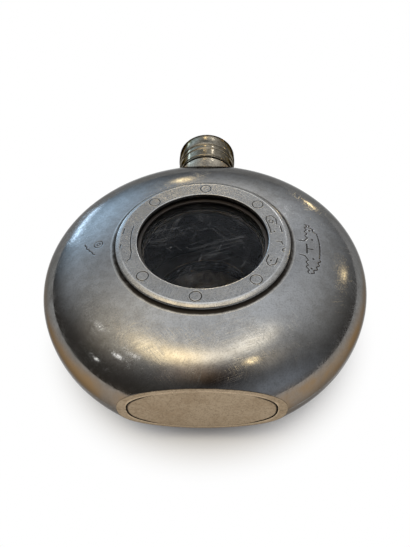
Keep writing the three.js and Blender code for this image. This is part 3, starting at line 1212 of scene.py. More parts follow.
@dataclass
class BodyShell:
    """One pressed half of the body, cut for the porthole, the neck and the foot.

    Attributes:
        side: The face that it is for.
        seam: Half of the solder line between the halves.
        hole: Radius of the porthole's hole.
        neck_hole: Radius of the neck's hole.
        foot_bevel: Rounding of the foot's edge.
        seam_bevel: Rounding of the seam's edge.
        ornament: Lines cut in it.
    """

    side: Side
    seam: float = 0.04 * MM
    hole: float = PORTHOLE_HOLE
    neck_hole: float = 7.3 * MM
    foot_bevel: float = 0.22 * MM
    seam_bevel: float = 0.09 * MM
    ornament: Engraving | None = None

    # How dark the row along the foot's outer edge is made, 0 to 1.
    FOOT_EDGE_DARK = 0.5
    CUT_SHARE = 0.3
    SHOULDER = 33.2 * MM
    ORNAMENT_END = 24.2 * MM

    # Rows along a meridian: the distance between them, or how many there are.
    FINE_ROW = 0.16 * MM
    PLAIN_ROW = 1.5 * MM
    FINE_LOW_ROWS = 26
    PLAIN_LOW_ROWS = 16
    HIGH_ROWS = 6

    # Columns round the body, in degrees.
    FOOT_MIDDLE = -90.0
    FOOT_COLUMNS = (-119.0, -60.5)
    FOOT_STEP = 0.5
    NECK_COLUMNS = ((78.0, 102.0),)
    NECK_STEP = 1.0
    PLAIN_STEP = 2.0
    ORNAMENT_COLUMNS = ((-22.0, 18.0), (174.0, 188.5))
    ORNAMENT_STEP = 0.33
    BESIDE_ORNAMENT = 1.5

    def angles(self) -> np.ndarray:
        """Spreads the columns, with one at each corner of the foot.

        Returns:
            The angles in order, in radians.
        """
        marks = list(np.arange(*self.FOOT_COLUMNS, self.FOOT_STEP))
        for dome in (OUTSIDE, INSIDE):
            spread = math.degrees(math.acos(FOOT / float(dome.reach(np.array(self.seam)))))
            marks += [self.FOOT_MIDDLE - spread, self.FOOT_MIDDLE + spread]
        if self.ornament is None:
            return columns_with(self.NECK_COLUMNS, self.NECK_STEP, self.PLAIN_STEP, tuple(marks))
        return columns_with(self.ORNAMENT_COLUMNS, self.ORNAMENT_STEP, self.BESIDE_ORNAMENT, tuple(marks))

    def starts(self, dome: Dome, angles: np.ndarray) -> np.ndarray:
        """Works out where each meridian starts: at the seam, the foot or the neck's hole.

        Args:
            dome: The outside or the inside of the shell.
            angles: The angle of each column.

        Returns:
            The place along the meridian, by column.
        """
        seam = float(dome.swing(dome.reach(np.array(self.seam))))
        at_foot = np.where(np.sin(angles) < 0, FOOT / np.clip(-np.sin(angles), WELD, None), dome.radius)
        starts = np.maximum(seam, dome.swing(np.minimum(at_foot, dome.radius)))
        low = np.zeros_like(angles)
        high = np.full_like(angles, float(dome.swing(np.array(self.SHOULDER))))
        for _ in range(HALVINGS):
            middle = (low + high) / 2
            points = dome.points(middle, angles)
            inside = np.hypot(points[:, 0], points[:, 2]) < self.neck_hole
            low = np.where(inside, middle, low)
            high = np.where(inside, high, middle)
        return np.where(np.sin(angles) > 0, np.maximum(starts, high), starts)

    def rows(self, dome: Dome, fine: bool) -> np.ndarray:
        """Gives the places of the rings along a whole meridian.

        Args:
            dome: The outside or the inside of the shell.
            fine: True if rings lie close together where there is engraving.

        Returns:
            Places from the seam to the porthole's hole.
        """
        shoulder = float(dome.swing(np.array(self.SHOULDER)))
        seam = float(dome.swing(dome.reach(np.array(self.seam))))
        low = np.linspace(seam, shoulder, self.FINE_LOW_ROWS if fine else self.PLAIN_LOW_ROWS)
        step = self.FINE_ROW if fine else self.PLAIN_ROW
        middle = np.arange(self.SHOULDER - self.FINE_ROW, self.ORNAMENT_END, -step)
        high = np.linspace(self.ORNAMENT_END, self.hole, self.HIGH_ROWS)
        return np.concatenate([low, dome.swing(middle), dome.swing(high)])

    def meridians(self, dome: Dome, angles: np.ndarray, fine: bool) -> np.ndarray:
        """Works out one surface of the shell.

        Args:
            dome: The outside or the inside of the shell.
            angles: The angle of each column.
            fine: True if rings lie close together where there is engraving.

        Returns:
            Points by ring, column and coordinate, from the cut edge to the porthole's hole.
        """
        rows = self.rows(dome, fine)[:, None]
        shoulder = float(dome.swing(np.array(self.SHOULDER)))
        starts = self.starts(dome, angles)[None, :]
        squeezed = starts + (rows - rows[0]) / (shoulder - rows[0]) * (shoulder - starts)
        return dome.points(np.where(rows < shoulder, squeezed, rows), angles)

    def wall_edge(self, outer: np.ndarray, inner: np.ndarray, angles: np.ndarray) -> np.ndarray:
        """Finds the points in the thickness of the cut edge where foot and seam meet.

        Args:
            outer: The outside's edge.
            inner: The inside's edge.
            angles: The angle of each column.

        Returns:
            A point for each column.
        """
        edge = (outer + inner) / 2
        at_foot = np.isclose(outer[:, 1], -FOOT, atol=WELD) & ~np.isclose(inner[:, 1], -FOOT, atol=WELD)
        at_seam = np.full_like(angles, self.seam)
        corner = np.stack([-FOOT / np.tan(angles), np.full_like(angles, -FOOT), at_seam], axis=-1)
        return np.where(at_foot[:, None], corner, edge)

    def loft(self) -> Loft:
        """Works out the whole shell, outside, hole, inside and cut edge.

        Returns:
            Its skin, with the inside as its second finish and the foot's rim as its third.
        """
        angles = self.angles()
        outer = self.meridians(OUTSIDE, angles, self.ornament is not None)
        inner = self.meridians(INSIDE, angles, False)
        edge = self.wall_edge(outer[0], inner[0], angles)
        on_foot = np.isclose(outer[0, :, 1], -FOOT, atol=WELD)
        bevel = np.where(on_foot, self.foot_bevel, self.seam_bevel)[:, None]
        up = outer[1] - outer[0]
        up /= np.linalg.norm(up, axis=-1, keepdims=True)
        across = edge - outer[0]
        width = np.linalg.norm(across, axis=-1, keepdims=True)
        across /= np.maximum(width, WELD)
        cut = np.minimum(bevel, width * self.CUT_SHARE)
        groove = np.zeros(outer.shape[:2])
        if self.ornament is not None:
            groove = self.ornament.shares(outer[..., :2])
            outer = outer - OUTSIDE.normals(outer) * (groove * self.ornament.depth)[..., None]
        outside = [outer[:1] + up * bevel, outer[:1] + up * bevel * 2, outer[1:]]
        closing = [edge[None], (outer[0] + across * cut * 2)[None], (outer[0] + across * cut)[None]]
        points = np.concatenate([*outside, inner[::-1], *closing])
        depth = np.zeros(points.shape[:2])
        depth[1:len(outer) + 1] = groove
        # A darker line along the foot's outer edge.
        depth[0] = on_foot * self.FOOT_EDGE_DARK
        finish = np.zeros(points.shape[:2], int)
        finish[len(outer):len(outer) + len(inner)] = 1
        finish[len(outer) + len(inner):] = np.where(on_foot & np.roll(on_foot, -1), 2, 0)
        return Loft(points, groove=depth, finish=finish)

    def build(self, finishes: Finishes) -> None:
        """Adds the shell to the scene.

        Args:
            finishes: The finishes.
        """
        seat = Seat("flask", "pewter_body", f"{self.side.word}_shell")
        looks = [finishes.body, finishes.inner, finishes.plate]
        add_piece(f"{self.side.word}_dome", self.loft(), looks, seat, self.side)


@dataclass
class FootPlate:
    """The bare oval plate let into the flat foot.

    Attributes:
        room: Clearance to the shells.
        thickness: Thickness of the plate.
        bevel: Rounding of its front edge at the two ends of the oval.
        flush: Rounding of the rest of that edge.
    """

    room: float = 0.03 * MM
    thickness: float = 1.3 * MM
    bevel: float = 0.4 * MM
    flush: float = 0.06 * MM

    END_FROM = 9 * MM
    END_FADE = 5 * MM
    FACE_INSET = 1.6
    # How dark the bevel is next to the plate's face, as a share of where it meets the shells.
    FACE_JOINT_SHADE = 0.5
    EDGE_ANGLES = (90, 60, 30, 0)
    COLUMNS = 160
    SHARES = (0.2, 0.45, 0.7, 0.88)

    def outline(self) -> np.ndarray:
        """Works out the oval where the inside of the shells meets the foot, less the clearance.

        Returns:
            Rows of X and Z.
        """
        dome = INSIDE.shrunk(self.room)
        angles = evenly(self.COLUMNS)
        low = np.zeros(self.COLUMNS)
        high = np.full(self.COLUMNS, dome.radius)
        for _ in range(HALVINGS):
            middle = (low + high) / 2
            out = np.hypot(middle * np.cos(angles), FOOT)
            within = np.abs(middle * np.sin(angles)) < dome.height(np.minimum(out, dome.radius))
            low = np.where(within, middle, low)
            high = np.where(within, high, middle)
        return np.stack([low * np.cos(angles), low * np.sin(angles)], axis=-1)

    def inset(self, outline: np.ndarray, by: np.ndarray) -> np.ndarray:
        """Draws the oval in.

        Args:
            outline: The oval, as rows of X and Z.
            by: How far to draw it in, by column.

        Returns:
            The smaller oval, as rows of X and Z.
        """
        along = np.roll(outline, -1, axis=0) - np.roll(outline, 1, axis=0)
        inward = np.stack([-along[:, 1], along[:, 0]], axis=-1)
        return outline + inward / np.linalg.norm(inward, axis=-1, keepdims=True) * by[:, None]

    def build(self, finishes: Finishes) -> None:
        """Adds the plate to the scene.

        Args:
            finishes: The finishes.
        """
        outline = self.outline()
        at_end = ease((np.abs(outline[:, 0]) - self.END_FROM) / self.END_FADE)
        bevel = self.flush + (self.bevel - self.flush) * at_end
        level = np.full(len(outline), -FOOT)
        clean = np.zeros(len(outline))
        face = self.inset(outline, bevel * self.FACE_INSET)
        rings = [(face * share, level, clean) for share in self.SHARES] + [(face, level, clean)]
        for angle in np.radians(self.EDGE_ANGLES):
            oval = self.inset(outline, bevel * (1 - math.cos(angle)))
            # At the two ends of the oval the bevel is darkened, most where it meets the shells: a dark joint
            # line and painted shade.
            joint_shade = at_end * (1 - (1 - self.FACE_JOINT_SHADE) * math.sin(angle))
            rings.append((oval, level + bevel * (1 - math.sin(angle)), joint_shade))
        rings.append((outline, level + self.thickness, clean))
        points = np.stack([np.stack([oval[:, 0], along, oval[:, 1]], axis=-1) for oval, along, _ in rings])
        groove = np.stack([joint_shade for _, _, joint_shade in rings])
        poles = (np.array([[0, -FOOT, 0]]), np.array([[0, self.thickness - FOOT, 0]]))
        seat = Seat("flask", "pewter_plate", "base_plate")
        add_piece("foot_plate", Loft(points, poles, groove), [finishes.plate], seat)


@dataclass
class Porthole:
    """The seat ring, gaskets, glass and bezel in one face.

    Attributes:
        side: The face that it is for.
        view: Radius of the bezel's bore.
        bevel: Width of the sloping rim of the bezel.
        drop: How far that rim slopes down.
        flare: From that rim out to the bezel's foot.
        ornament: Lines cut in the bezel's face.
    """

    side: Side
    view: float = 16.45 * MM
    bevel: float = 1.0 * MM
    drop: float = 0.47 * MM
    flare: float = 0.95 * MM
    ornament: Engraving | None = None

    # The bezel's face, its engraving and its columns in degrees.
    FINE_ROW = 0.12 * MM
    FACE_FROM = 0.38 * MM
    FACE_ROOM = 0.25 * MM
    SCRIBED_RING = 20.95
    SCRIBED_WIDTH = 0.14
    SCRIBED_SHARE = 0.3
    BOLT_SPREAD = 5.6
    ORNAMENT_COLUMNS = ((-33.0, 27.0), (164.0, 206.0))
    ORNAMENT_STEP = 0.42
    PLAIN_STEP = 1.6

    # The bezel's edges and its underside.
    SKIRT = 1.7 * MM
    SKIRT_SOFT = 0.1 * MM
    LIP_SOFT = 0.32 * MM
    RIM_SOFT = 1.0 * MM
    SHOULDER_SOFT = 0.3 * MM
    WALL_OUT = 0.1 * MM
    WALL_LIFT = 0.14 * MM
    FILLET = 0.6 * MM
    RUN_OUT = 0.4 * MM
    LANDING_LIFT = 0.01 * MM
    UNDER_LIFT = 0.05 * MM
    HOLE_LIFT = 0.1 * MM

    # Grime and painted shade in the cove round the bezel, stronger on the side towards the foot, and painted
    # shade down its bore.
    COVE_IN = 0.3 * MM
    COVE_FROM = 0.55 * MM
    COVE_FADE = 0.35 * MM
    COVE_GRIME_AND_SHADE = 0.55
    NEAR_SIDE_SHADE = 0.3
    BORE_FROM = 0.2 * MM
    BORE_FADE = 0.5 * MM

    # The seat ring, the gaskets and the glass.
    WELL_WALL = 1.1 * MM
    WELL_ROOM = 0.15 * MM
    GASKET_BORE = 15.7 * MM
    LEDGE_BORE = 15.15 * MM
    LEDGE = 1.1 * MM
    LEDGE_SOFT = 0.25 * MM
    FLANGE = 2.0 * MM
    FLANGE_THICKNESS = 1.0 * MM
    FLANGE_SOFT = 0.2 * MM
    FLANGE_ROOM = 0.3 * MM
    GASKET_SOFT = 0.2 * MM
    GROUND_EDGE = 0.25 * MM
    COLUMNS = 144

    def levels(self, piece: str) -> Point:
        """Gives the lowest and highest level of a piece, as on the front."""
        return span(f"front_{piece}", 2)

    def radius(self, piece: str) -> float:
        """Gives the outer radius of a piece."""
        return span(f"front_{piece}", 0)[1]

    def angles(self) -> np.ndarray:
        """Spreads the bezel's columns, close together where there is engraving.

        Returns:
            The angles in order, in radians.
        """
        if self.ornament is None:
            return evenly(self.COLUMNS)
        bolts = tuple((angle - self.BOLT_SPREAD, angle + self.BOLT_SPREAD) for angle in BOLT_ANGLES)
        return columns_with((*bolts, *self.ORNAMENT_COLUMNS), self.ORNAMENT_STEP, self.PLAIN_STEP)

    def bezel_corners(self) -> list[Corner]:
        """Lists the bezel's corners: bore, face, bevelled rim, flared foot and underside.

        Returns:
            The corners in order.
        """
        face = self.levels("bezel")[1]
        foot_radius = self.radius("bezel")
        window = self.radius("window")
        shoulder = foot_radius - self.flare
        face_end = shoulder - self.bevel
        middle = (PORTHOLE_HOLE + foot_radius) / 2
        run_out = foot_radius + self.RUN_OUT
        wall = shoulder + self.WALL_OUT
        under = np.array([PORTHOLE_HOLE, middle, wall, run_out])
        at_hole, at_middle, at_wall, landing = OUTSIDE.height(under)
        top = np.arange(self.view + self.FACE_FROM, face_end - self.FACE_ROOM, self.FINE_ROW)
        return [
            Corner(self.view, face - self.SKIRT, self.SKIRT_SOFT),
            Corner(self.view, face, self.LIP_SOFT),
            *(Corner(out, face) for out in top),
            Corner(face_end, face, self.RIM_SOFT),
            Corner(shoulder, face - self.drop, self.SHOULDER_SOFT),
            Corner(wall, at_wall + self.WALL_LIFT, self.FILLET),
            Corner(run_out, landing + self.LANDING_LIFT),
            Corner(middle, at_middle + self.UNDER_LIFT),
            Corner(PORTHOLE_HOLE, at_hole + self.HOLE_LIFT),
            Corner(window, at_hole + self.HOLE_LIFT),
            Corner(window, face - self.SKIRT, self.SKIRT_SOFT),
        ]

    def bezel(self) -> Loft:
        """Works out the bezel, with its engraving, the grime and painted shade in the cove round it, and
        painted shade down its bore.

        Returns:
            Its skin.
        """
        face = self.levels("bezel")[1]
        foot_radius = self.radius("bezel")
        shoulder = foot_radius - self.flare
        points = turned(profile(self.bezel_corners(), True), self.angles(), Axis.BODY)
        ring = ((self.SCRIBED_RING, -180), (self.SCRIBED_RING, 180))
        scribed = Engraving((Stroke(ring, width=self.SCRIBED_WIDTH),))
        on_face = np.isclose(points[..., 2], face, atol=WELD)
        groove = scribed.shares(points[..., :2]) * on_face * self.SCRIBED_SHARE
        if self.ornament is not None:
            groove = np.maximum(groove, self.ornament.shares(points[..., :2]) * on_face)
        points[..., 2] -= groove * scribed.depth
        out = np.linalg.norm(points[..., :2], axis=-1)
        # Grime and painted shade in the cove at the bezel's foot, stronger on the side towards the foot.
        in_cove = (out > shoulder - self.COVE_IN) & (out < foot_radius)
        towards_foot = np.clip(-np.sin(self.angles()), 0, 1) ** 2
        cove = ease((face - self.COVE_FROM - points[..., 2]) / self.COVE_FADE)
        cove = cove * (self.COVE_GRIME_AND_SHADE + self.NEAR_SIDE_SHADE * towards_foot)
        groove = np.maximum(groove, in_cove * cove)
        # Painted shade, deeper down the bore.
        in_bore = out < self.view + WELD
        bore = ease((face - self.BORE_FROM - points[..., 2]) / self.BORE_FADE)
        return Loft(points, groove=np.maximum(groove, in_bore * bore))

    def seat_ring(self) -> Loft:
        """Works out the ring soldered into the shell, with a ledge for the glass.

        Returns:
            Its skin.
        """
        ledge = self.levels("inner_gasket")[0] - self.WELL_ROOM
        well = self.radius("window") + self.WELL_ROOM
        wall = well + self.WELL_WALL
        rim = PORTHOLE_HOLE + self.FLANGE
        flange = INSIDE.height(np.array([wall, rim])) - self.FLANGE_ROOM
        top = float(OUTSIDE.height(np.array(PORTHOLE_HOLE)))
        corners = [
            Corner(self.LEDGE_BORE, ledge - self.LEDGE, self.LEDGE_SOFT),
            Corner(wall, ledge - self.LEDGE, self.LEDGE_SOFT),
            Corner(wall, flange[0] - self.FLANGE_THICKNESS, self.FLANGE_SOFT),
            Corner(rim, flange[1] - self.FLANGE_THICKNESS, self.FLANGE_SOFT),
            Corner(rim, flange[1], self.FLANGE_SOFT),
            Corner(wall, flange[0]),
            Corner(wall, top),
            Corner(well, top),
            Corner(well, ledge),
            Corner(self.LEDGE_BORE, ledge, self.LEDGE_SOFT),
        ]
        return Loft(turned(profile(corners, True), evenly(self.COLUMNS), Axis.BODY))

    def gasket(self, piece: str) -> Loft:
        """Works out a gasket with soft edges.

        Args:
            piece: Its name without the side.

        Returns:
            Its skin.
        """
        low, high = self.levels(piece)
        corners = [
            Corner(self.GASKET_BORE, low, self.GASKET_SOFT),
            Corner(self.radius(piece), low, self.GASKET_SOFT),
            Corner(self.radius(piece), high, self.GASKET_SOFT),
            Corner(self.GASKET_BORE, high, self.GASKET_SOFT),
        ]
        return Loft(turned(profile(corners, True), evenly(self.COLUMNS), Axis.BODY))

    def glass(self) -> Loft:
        """Works out the glass disc with ground edges.

        Returns:
            Its skin.
        """
        low, high = self.levels("window")
        out = self.radius("window")
        ground = self.GROUND_EDGE
        soft = ground / 3
        corners = [
            Corner(out / 2, low),
            Corner(out - ground, low, soft),
            Corner(out, low + ground, soft),
            Corner(out, high - ground, soft),
            Corner(out - ground, high, soft),
            Corner(out / 2, high),
        ]
        poles = (np.array([[0, 0, low]]), np.array([[0, 0, high]]))
        return Loft(turned(profile(corners, False), evenly(self.COLUMNS), Axis.BODY), poles)

    def build(self, finishes: Finishes) -> None:
        """Adds the porthole's pieces to the scene.

        Args:
            finishes: The finishes.
        """
        glass = finishes.front_glass if self.side is Side.FRONT else finishes.back_glass
        pieces = (
            ("bezel_ring", self.bezel(), finishes.trim, "pewter_trim", "bezel"),
            ("seat", self.seat_ring(), finishes.seat, "pewter_inner", "seat_ring"),
            ("glass", self.glass(), glass, "glass", "window"),
            ("outer_seal", self.gasket("outer_gasket"), finishes.seal, "rubber", "outer_gasket"),
            ("inner_seal", self.gasket("inner_gasket"), finishes.rubber, "rubber", "inner_gasket"),
        )
        for name, loft, finish, slot, node in pieces:
            seat = Seat("flask", slot, f"{self.side.word}_{node}")
            add_piece(f"{self.side.word}_{name}", loft, [finish], seat, self.side)


@dataclass(frozen=True)
class Thread:
    """A right-hand screw thread about the neck's axis.

    Attributes:
        lead: How far it climbs in a turn.
        height: Height of its crest.
        start: Level where it starts.
        stop: Level where it ends.
    """

    lead: float
    height: float
    start: float
    stop: float

    SHARE_OF_LEAD = 0.34
    FLANK_SHARE = 0.7
    FADE = 0.8 * MM

    def lift(self, level: np.ndarray, angles: np.ndarray) -> np.ndarray:
        """Works out how far the thread stands out at points.

        Args:
            level: How far along the neck each point lies.
            angles: The angle of each column.

        Returns:
            The height of the thread, by ring and column.
        """
        phase = (level / self.lead + angles / TURN) % 1.0
        flank = self.SHARE_OF_LEAD * self.FLANK_SHARE
        crest = ease((self.SHARE_OF_LEAD - np.abs(phase - 0.5)) / flank)
        fade = ease((level - self.start) / self.FADE) * ease((self.stop - level) / self.FADE)
        return self.height * crest * fade


@dataclass
class Neck:
    """The threaded spout and its collar on the body.

    Attributes:
        bore: Radius of the spout's bore.
        wall: Thickness of the spout.
        collar_top: Radius of the collar's top.
        collar_base: Radius where the collar meets the body.
        lead: Lead of the thread.
    """

    bore: float = 5.5 * MM
    wall: float = 1.5 * MM
    collar_top: float = 8.8 * MM
    collar_base: float = 8.55 * MM
    lead: float = THREAD_LEAD

    COLUMNS = 120
    CREST = 0.33 * MM
    MOUTH_SOFT = 0.5 * MM
    MOUTH_END = 0.55 * MM
    THREAD_TO = 0.6 * MM
    THREAD_FROM = 0.7 * MM
    THREAD_ROWS = 46
    THREAD_FOOT = 0.25 * MM
    LEDGE_LIFT = 0.2 * MM
    LEDGE_SOFT = 0.15 * MM
    COLLAR_STAND = 0.6 * MM
    COLLAR_SOFT = 0.35 * MM
    COLLAR_EDGE = 0.4 * MM
    COLLAR_ROWS = 14
    TAPER_POWER = 1.5
    LANDING_POWER = 0.85

    def loft(self) -> Loft:
        """Works out the spout, its thread, and the collar that sits on the dome.

        Returns:
            Its skin.
        """
        low, high = span("neck", 1)
        tube = self.bore + self.wall
        collar = OUTSIDE.radius + self.COLLAR_STAND
        angles = evenly(self.COLUMNS)
        thread = Thread(self.lead, self.CREST, collar + self.THREAD_FROM, high - self.THREAD_TO)
        mouth = [
            Corner(self.bore, low),
            Corner(self.bore, high, self.MOUTH_SOFT),
            Corner(tube, high, self.MOUTH_SOFT),
            Corner(tube, high - self.MOUTH_END),
        ]
        levels = np.linspace(high - self.THREAD_TO, collar + self.THREAD_FOOT, self.THREAD_ROWS)
        screw = turned(np.stack([np.full_like(levels, tube), levels], axis=-1), angles, Axis.NECK)
        stretch = 1 + thread.lift(levels[:, None], angles[None, :]) / tube
        screw *= np.stack([stretch, np.ones_like(stretch), stretch], axis=-1)
        top = collar - self.COLLAR_EDGE
        ledge = [
            Corner(tube, collar + self.LEDGE_LIFT),
            Corner(tube, collar, self.LEDGE_SOFT),
            Corner(self.collar_top, collar, self.COLLAR_SOFT),
            Corner(self.collar_top, top),
        ]
        share = np.linspace(0, 1, self.COLLAR_ROWS)[1:, None]
        out = self.collar_top + (self.collar_base - self.collar_top) * share**self.TAPER_POWER
        landed = OUTSIDE.end_of_neck(out, angles[None, :])
        along = top + (landed - top) * share**self.LANDING_POWER
        skirt = np.stack([out * np.cos(angles), along, out * np.sin(angles)], axis=-1)
        seat = OUTSIDE.end_of_neck(np.full((1, 1), tube), angles[None, :])
        under = np.stack([tube * np.cos(angles)[None], seat, tube * np.sin(angles)[None]], axis=-1)
        foot = turned(np.array([[tube, low]]), angles, Axis.NECK)
        inside = turned(profile(mouth, False), angles, Axis.NECK)
        outside = turned(profile(ledge, False), angles, Axis.NECK)
        return Loft(np.concatenate([inside, screw, outside, skirt, under, foot]))

    def build(self, finishes: Finishes) -> None:
        """Adds the neck to the scene."""
        add_piece("spout_and_collar", self.loft(), [finishes.neck], Seat("flask", "pewter_trim", "neck"))


@dataclass
class Cap:
    """The turned screw cap and the cork disc inside it.

    Attributes:
        bore: Radius of its bore.
        band: Radius of its plain band.
        bead: Radius of its smooth end.
        ring: Radius of its ring and of the end next to it.
        rim_bead: Radius of the bead at its rim.
        root: Radius at the bottom of its lower groove.
        shallow: Radius at the bottom of its two upper grooves.
        groove: Width of a groove.
        edge: Rounding of its end.
        lead: Lead of its thread.
    """

    bore: float = 7.6 * MM
    band: float = 8.75 * MM
    bead: float = 9.45 * MM
    ring: float = 9.05 * MM
    rim_bead: float = 8.82 * MM
    root: float = 8.55 * MM
    shallow: float = 8.75 * MM
    groove: float = 0.6 * MM
    edge: float = 1.0 * MM
    lead: float = THREAD_LEAD

    COLUMNS = 144
    MIDDLE_SHARE = 0.6

    # The outside. A step of the crown is a share of its radius and a share of its height.
    CROWN = 0.35 * MM
    CROWN_STEPS = ((0.35, 0.08), (0.7, 0.45))
    END_DROP = 0.1 * MM
    BARREL = 0.24 * MM
    BARREL_SOFT = 8.0 * MM
    CREST_FROM = 3.9 * MM
    LAND_END = 5.45 * MM
    RING = 1.3 * MM
    RING_SOFT = 0.3 * MM
    GROOVE_SOFT = 0.4 * MM
    BAND_SOFT = 0.15 * MM
    ROOT_SOFT = 0.12 * MM
    RIM = 0.9 * MM
    RIM_SOFT = 0.5 * MM
    BORE_SOFT = 0.15 * MM
    BORE_FROM = 0.4 * MM

    # The inside and its thread.
    TOP = 1.65 * MM
    CREST = 0.16 * MM
    THREAD_ROWS = 40
    ROWS_FROM = 0.45 * MM
    ROOF_ROOM = 0.1 * MM
    THREAD_FROM = 0.6 * MM
    THREAD_ROOM = 2.2 * MM
    CORK_SOFT = 0.35 * MM

    # Dirt in the grooves, and painted shade on the end and at the rim.
    GROOVE_FROM = 0.05 * MM
    BORE_CLEAR = 0.5 * MM
    END_SHADE = 0.55
    END_SHADE_FROM = 3.0 * MM
    END_SHADE_FADE = 2.2 * MM
    RIM_SHADE = 0.9
    RIM_SHADE_TO = 0.55 * MM
    RIM_SHADE_FADE = 0.25 * MM

    def outside(self) -> list[Corner]:
        """Lists the corners of the outside, from the middle of the end to the rim.

        Returns:
            The corners in order.
        """
        rim, end = span("cap", 1)
        land = end - self.LAND_END
        ring = land - self.groove
        band = ring - self.RING - self.groove
        low_groove = rim + self.RIM + self.groove
        return [
            *(Corner(self.bead * out, end - self.CROWN * down) for out, down in self.CROWN_STEPS),
            Corner(self.bead - self.BARREL, end - self.CROWN - self.END_DROP, self.edge),
            Corner(self.bead, end - self.CROWN - self.CREST_FROM, self.BARREL_SOFT),
            Corner(self.ring, land, self.RING_SOFT),
            Corner(self.shallow, land - self.groove / 2, self.GROOVE_SOFT),
            Corner(self.ring, ring, self.RING_SOFT),
            Corner(self.ring, ring - self.RING, self.RING_SOFT),
            Corner(self.shallow, ring - self.RING - self.groove / 2, self.GROOVE_SOFT),
            Corner(self.band, band, self.BAND_SOFT),
            Corner(self.band, low_groove, self.BAND_SOFT),
            Corner(self.root, low_groove - self.groove / 2, self.ROOT_SOFT),
            Corner(self.rim_bead, rim + self.RIM, self.RING_SOFT),
            Corner(self.rim_bead, rim, self.RIM_SOFT),
            Corner(self.bore, rim, self.BORE_SOFT),
            Corner(self.bore, rim + self.BORE_FROM),
        ]

    def loft(self) -> Loft:
        """Works out the cap, with its mouldings and the thread in its bore.

        Returns:
            Its skin, with dirt in the grooves and painted shade on its end and at its rim.
        """
        rim, end = span("cap", 1)
        inside = end - self.TOP
        angles = evenly(self.COLUMNS)
        outline = profile(self.outside(), False)
        levels = np.linspace(rim + self.ROWS_FROM, inside - self.ROOF_ROOM, self.THREAD_ROWS)
        screw = turned(np.stack([np.full_like(levels, self.bore), levels], axis=-1), angles, Axis.NECK)
        thread = Thread(self.lead, self.CREST, rim + self.THREAD_FROM, inside - self.THREAD_ROOM)
        stretch = 1 - thread.lift(levels[:, None], angles[None, :]) / self.bore
        screw *= np.stack([stretch, np.ones_like(stretch), stretch], axis=-1)
        roof = np.array([[self.bore, inside], [self.bore * self.MIDDLE_SHARE, inside]])
        points = np.concatenate([turned(outline, angles, Axis.NECK), screw, turned(roof, angles, Axis.NECK)])
        groove = np.zeros(points.shape[:2])
        depth = np.clip((self.band - self.GROOVE_FROM - outline[:, 0]) / (self.band - self.root), 0, 1)
        groove[: len(outline)] = np.where(outline[:, 0] > self.bore + self.BORE_CLEAR, depth, 0)[:, None]
        groove[: len(outline)] *= (outline[:, 1] < end - self.LAND_END)[:, None]
        # Painted shade on the rounded end and on the rim's underside.
        at_end = ease((outline[:, 1] - end + self.END_SHADE_FROM) / self.END_SHADE_FADE) * self.END_SHADE
        at_rim = ease((rim + self.RIM_SHADE_TO - outline[:, 1]) / self.RIM_SHADE_FADE) * self.RIM_SHADE
        groove[: len(outline)] = np.maximum(groove[: len(outline)], np.maximum(at_end, at_rim)[:, None])
        poles = (np.array([[0, end, 0]]), np.array([[0, inside, 0]]))
        return Loft(points, poles, groove)

    def liner(self) -> Loft:
        """Works out the cork disc, a little worn at its edges.

        Returns:
            Its skin.
        """
        low, high = span("cap_liner", 1)
        out = span("cap_liner", 0)[1]
        corners = [
            Corner(out * self.MIDDLE_SHARE, low),
            Corner(out, low, self.CORK_SOFT),
            Corner(out, high, self.CORK_SOFT),
            Corner(out * self.MIDDLE_SHARE, high),
        ]
        poles = (np.array([[0, low, 0]]), np.array([[0, high, 0]]))
        return Loft(turned(profile(corners, False), evenly(self.COLUMNS), Axis.NECK), poles)

    def build(self, finishes: Finishes) -> None:
        """Adds the cap and its liner to the scene."""
        add_piece("screw_cap", self.loft(), [finishes.cap], Seat("cap", "pewter_cap", "cap"))
        add_piece("cork_liner", self.liner(), [finishes.cork], Seat("liner", "cork", "cap_liner"))


@dataclass(frozen=True)
class Glow:
    """A soft light in the studio, seen in one direction, or a dark patch if its strength is below 0.

    Attributes:
        zenith: Degrees from straight up.
        azimuth: Degrees from +X towards +Y.
        width: Degrees from its middle to where it has half its strength.
        strength: Its strength in the middle.
        colour: Its colour.
    """

    zenith: float
    azimuth: float
    width: float
    strength: float
    colour: Colour = (1.0, 1.0, 1.0)

    def direction(self) -> Vector:
        """Gives the way to the light."""
        tilt, turn = math.radians(self.zenith), math.radians(self.azimuth)
        return Vector((math.sin(tilt) * math.cos(turn), math.sin(tilt) * math.sin(turn), math.cos(tilt)))

    def sharpness(self) -> float:
        """Gives how fast the light falls off, from its width."""
        return math.log(2) / (1 - math.cos(math.radians(self.width)))


WARM = (1.0, 0.78, 0.43)
PALE = (1.0, 0.9, 0.72)
COOL = (0.64, 0.87, 1.15)
WARM_STRIP = ((-24, -3), (-18, -8), (-12, -10), (-6, -10))
PALE_STRIP = ((0, -10), (6, -9), (12, -5), (17, -1), (20, 3))


def strip(places: tuple[Point, ...], width: float, strength: float, colour: Colour) -> tuple[Glow, ...]:
    """Lays a row of lights overhead.

    Args:
        places: Degrees from straight up of each light, towards +X and towards +Y.
        width: The width of each light.
        strength: The strength of each light.
        colour: Their colour.

    Returns:
        The lights.
    """
    lights = []
    for x, y in places:
        lights.append(Glow(math.hypot(x, y), math.degrees(math.atan2(y, x)), width, strength, colour))
    return tuple(lights)


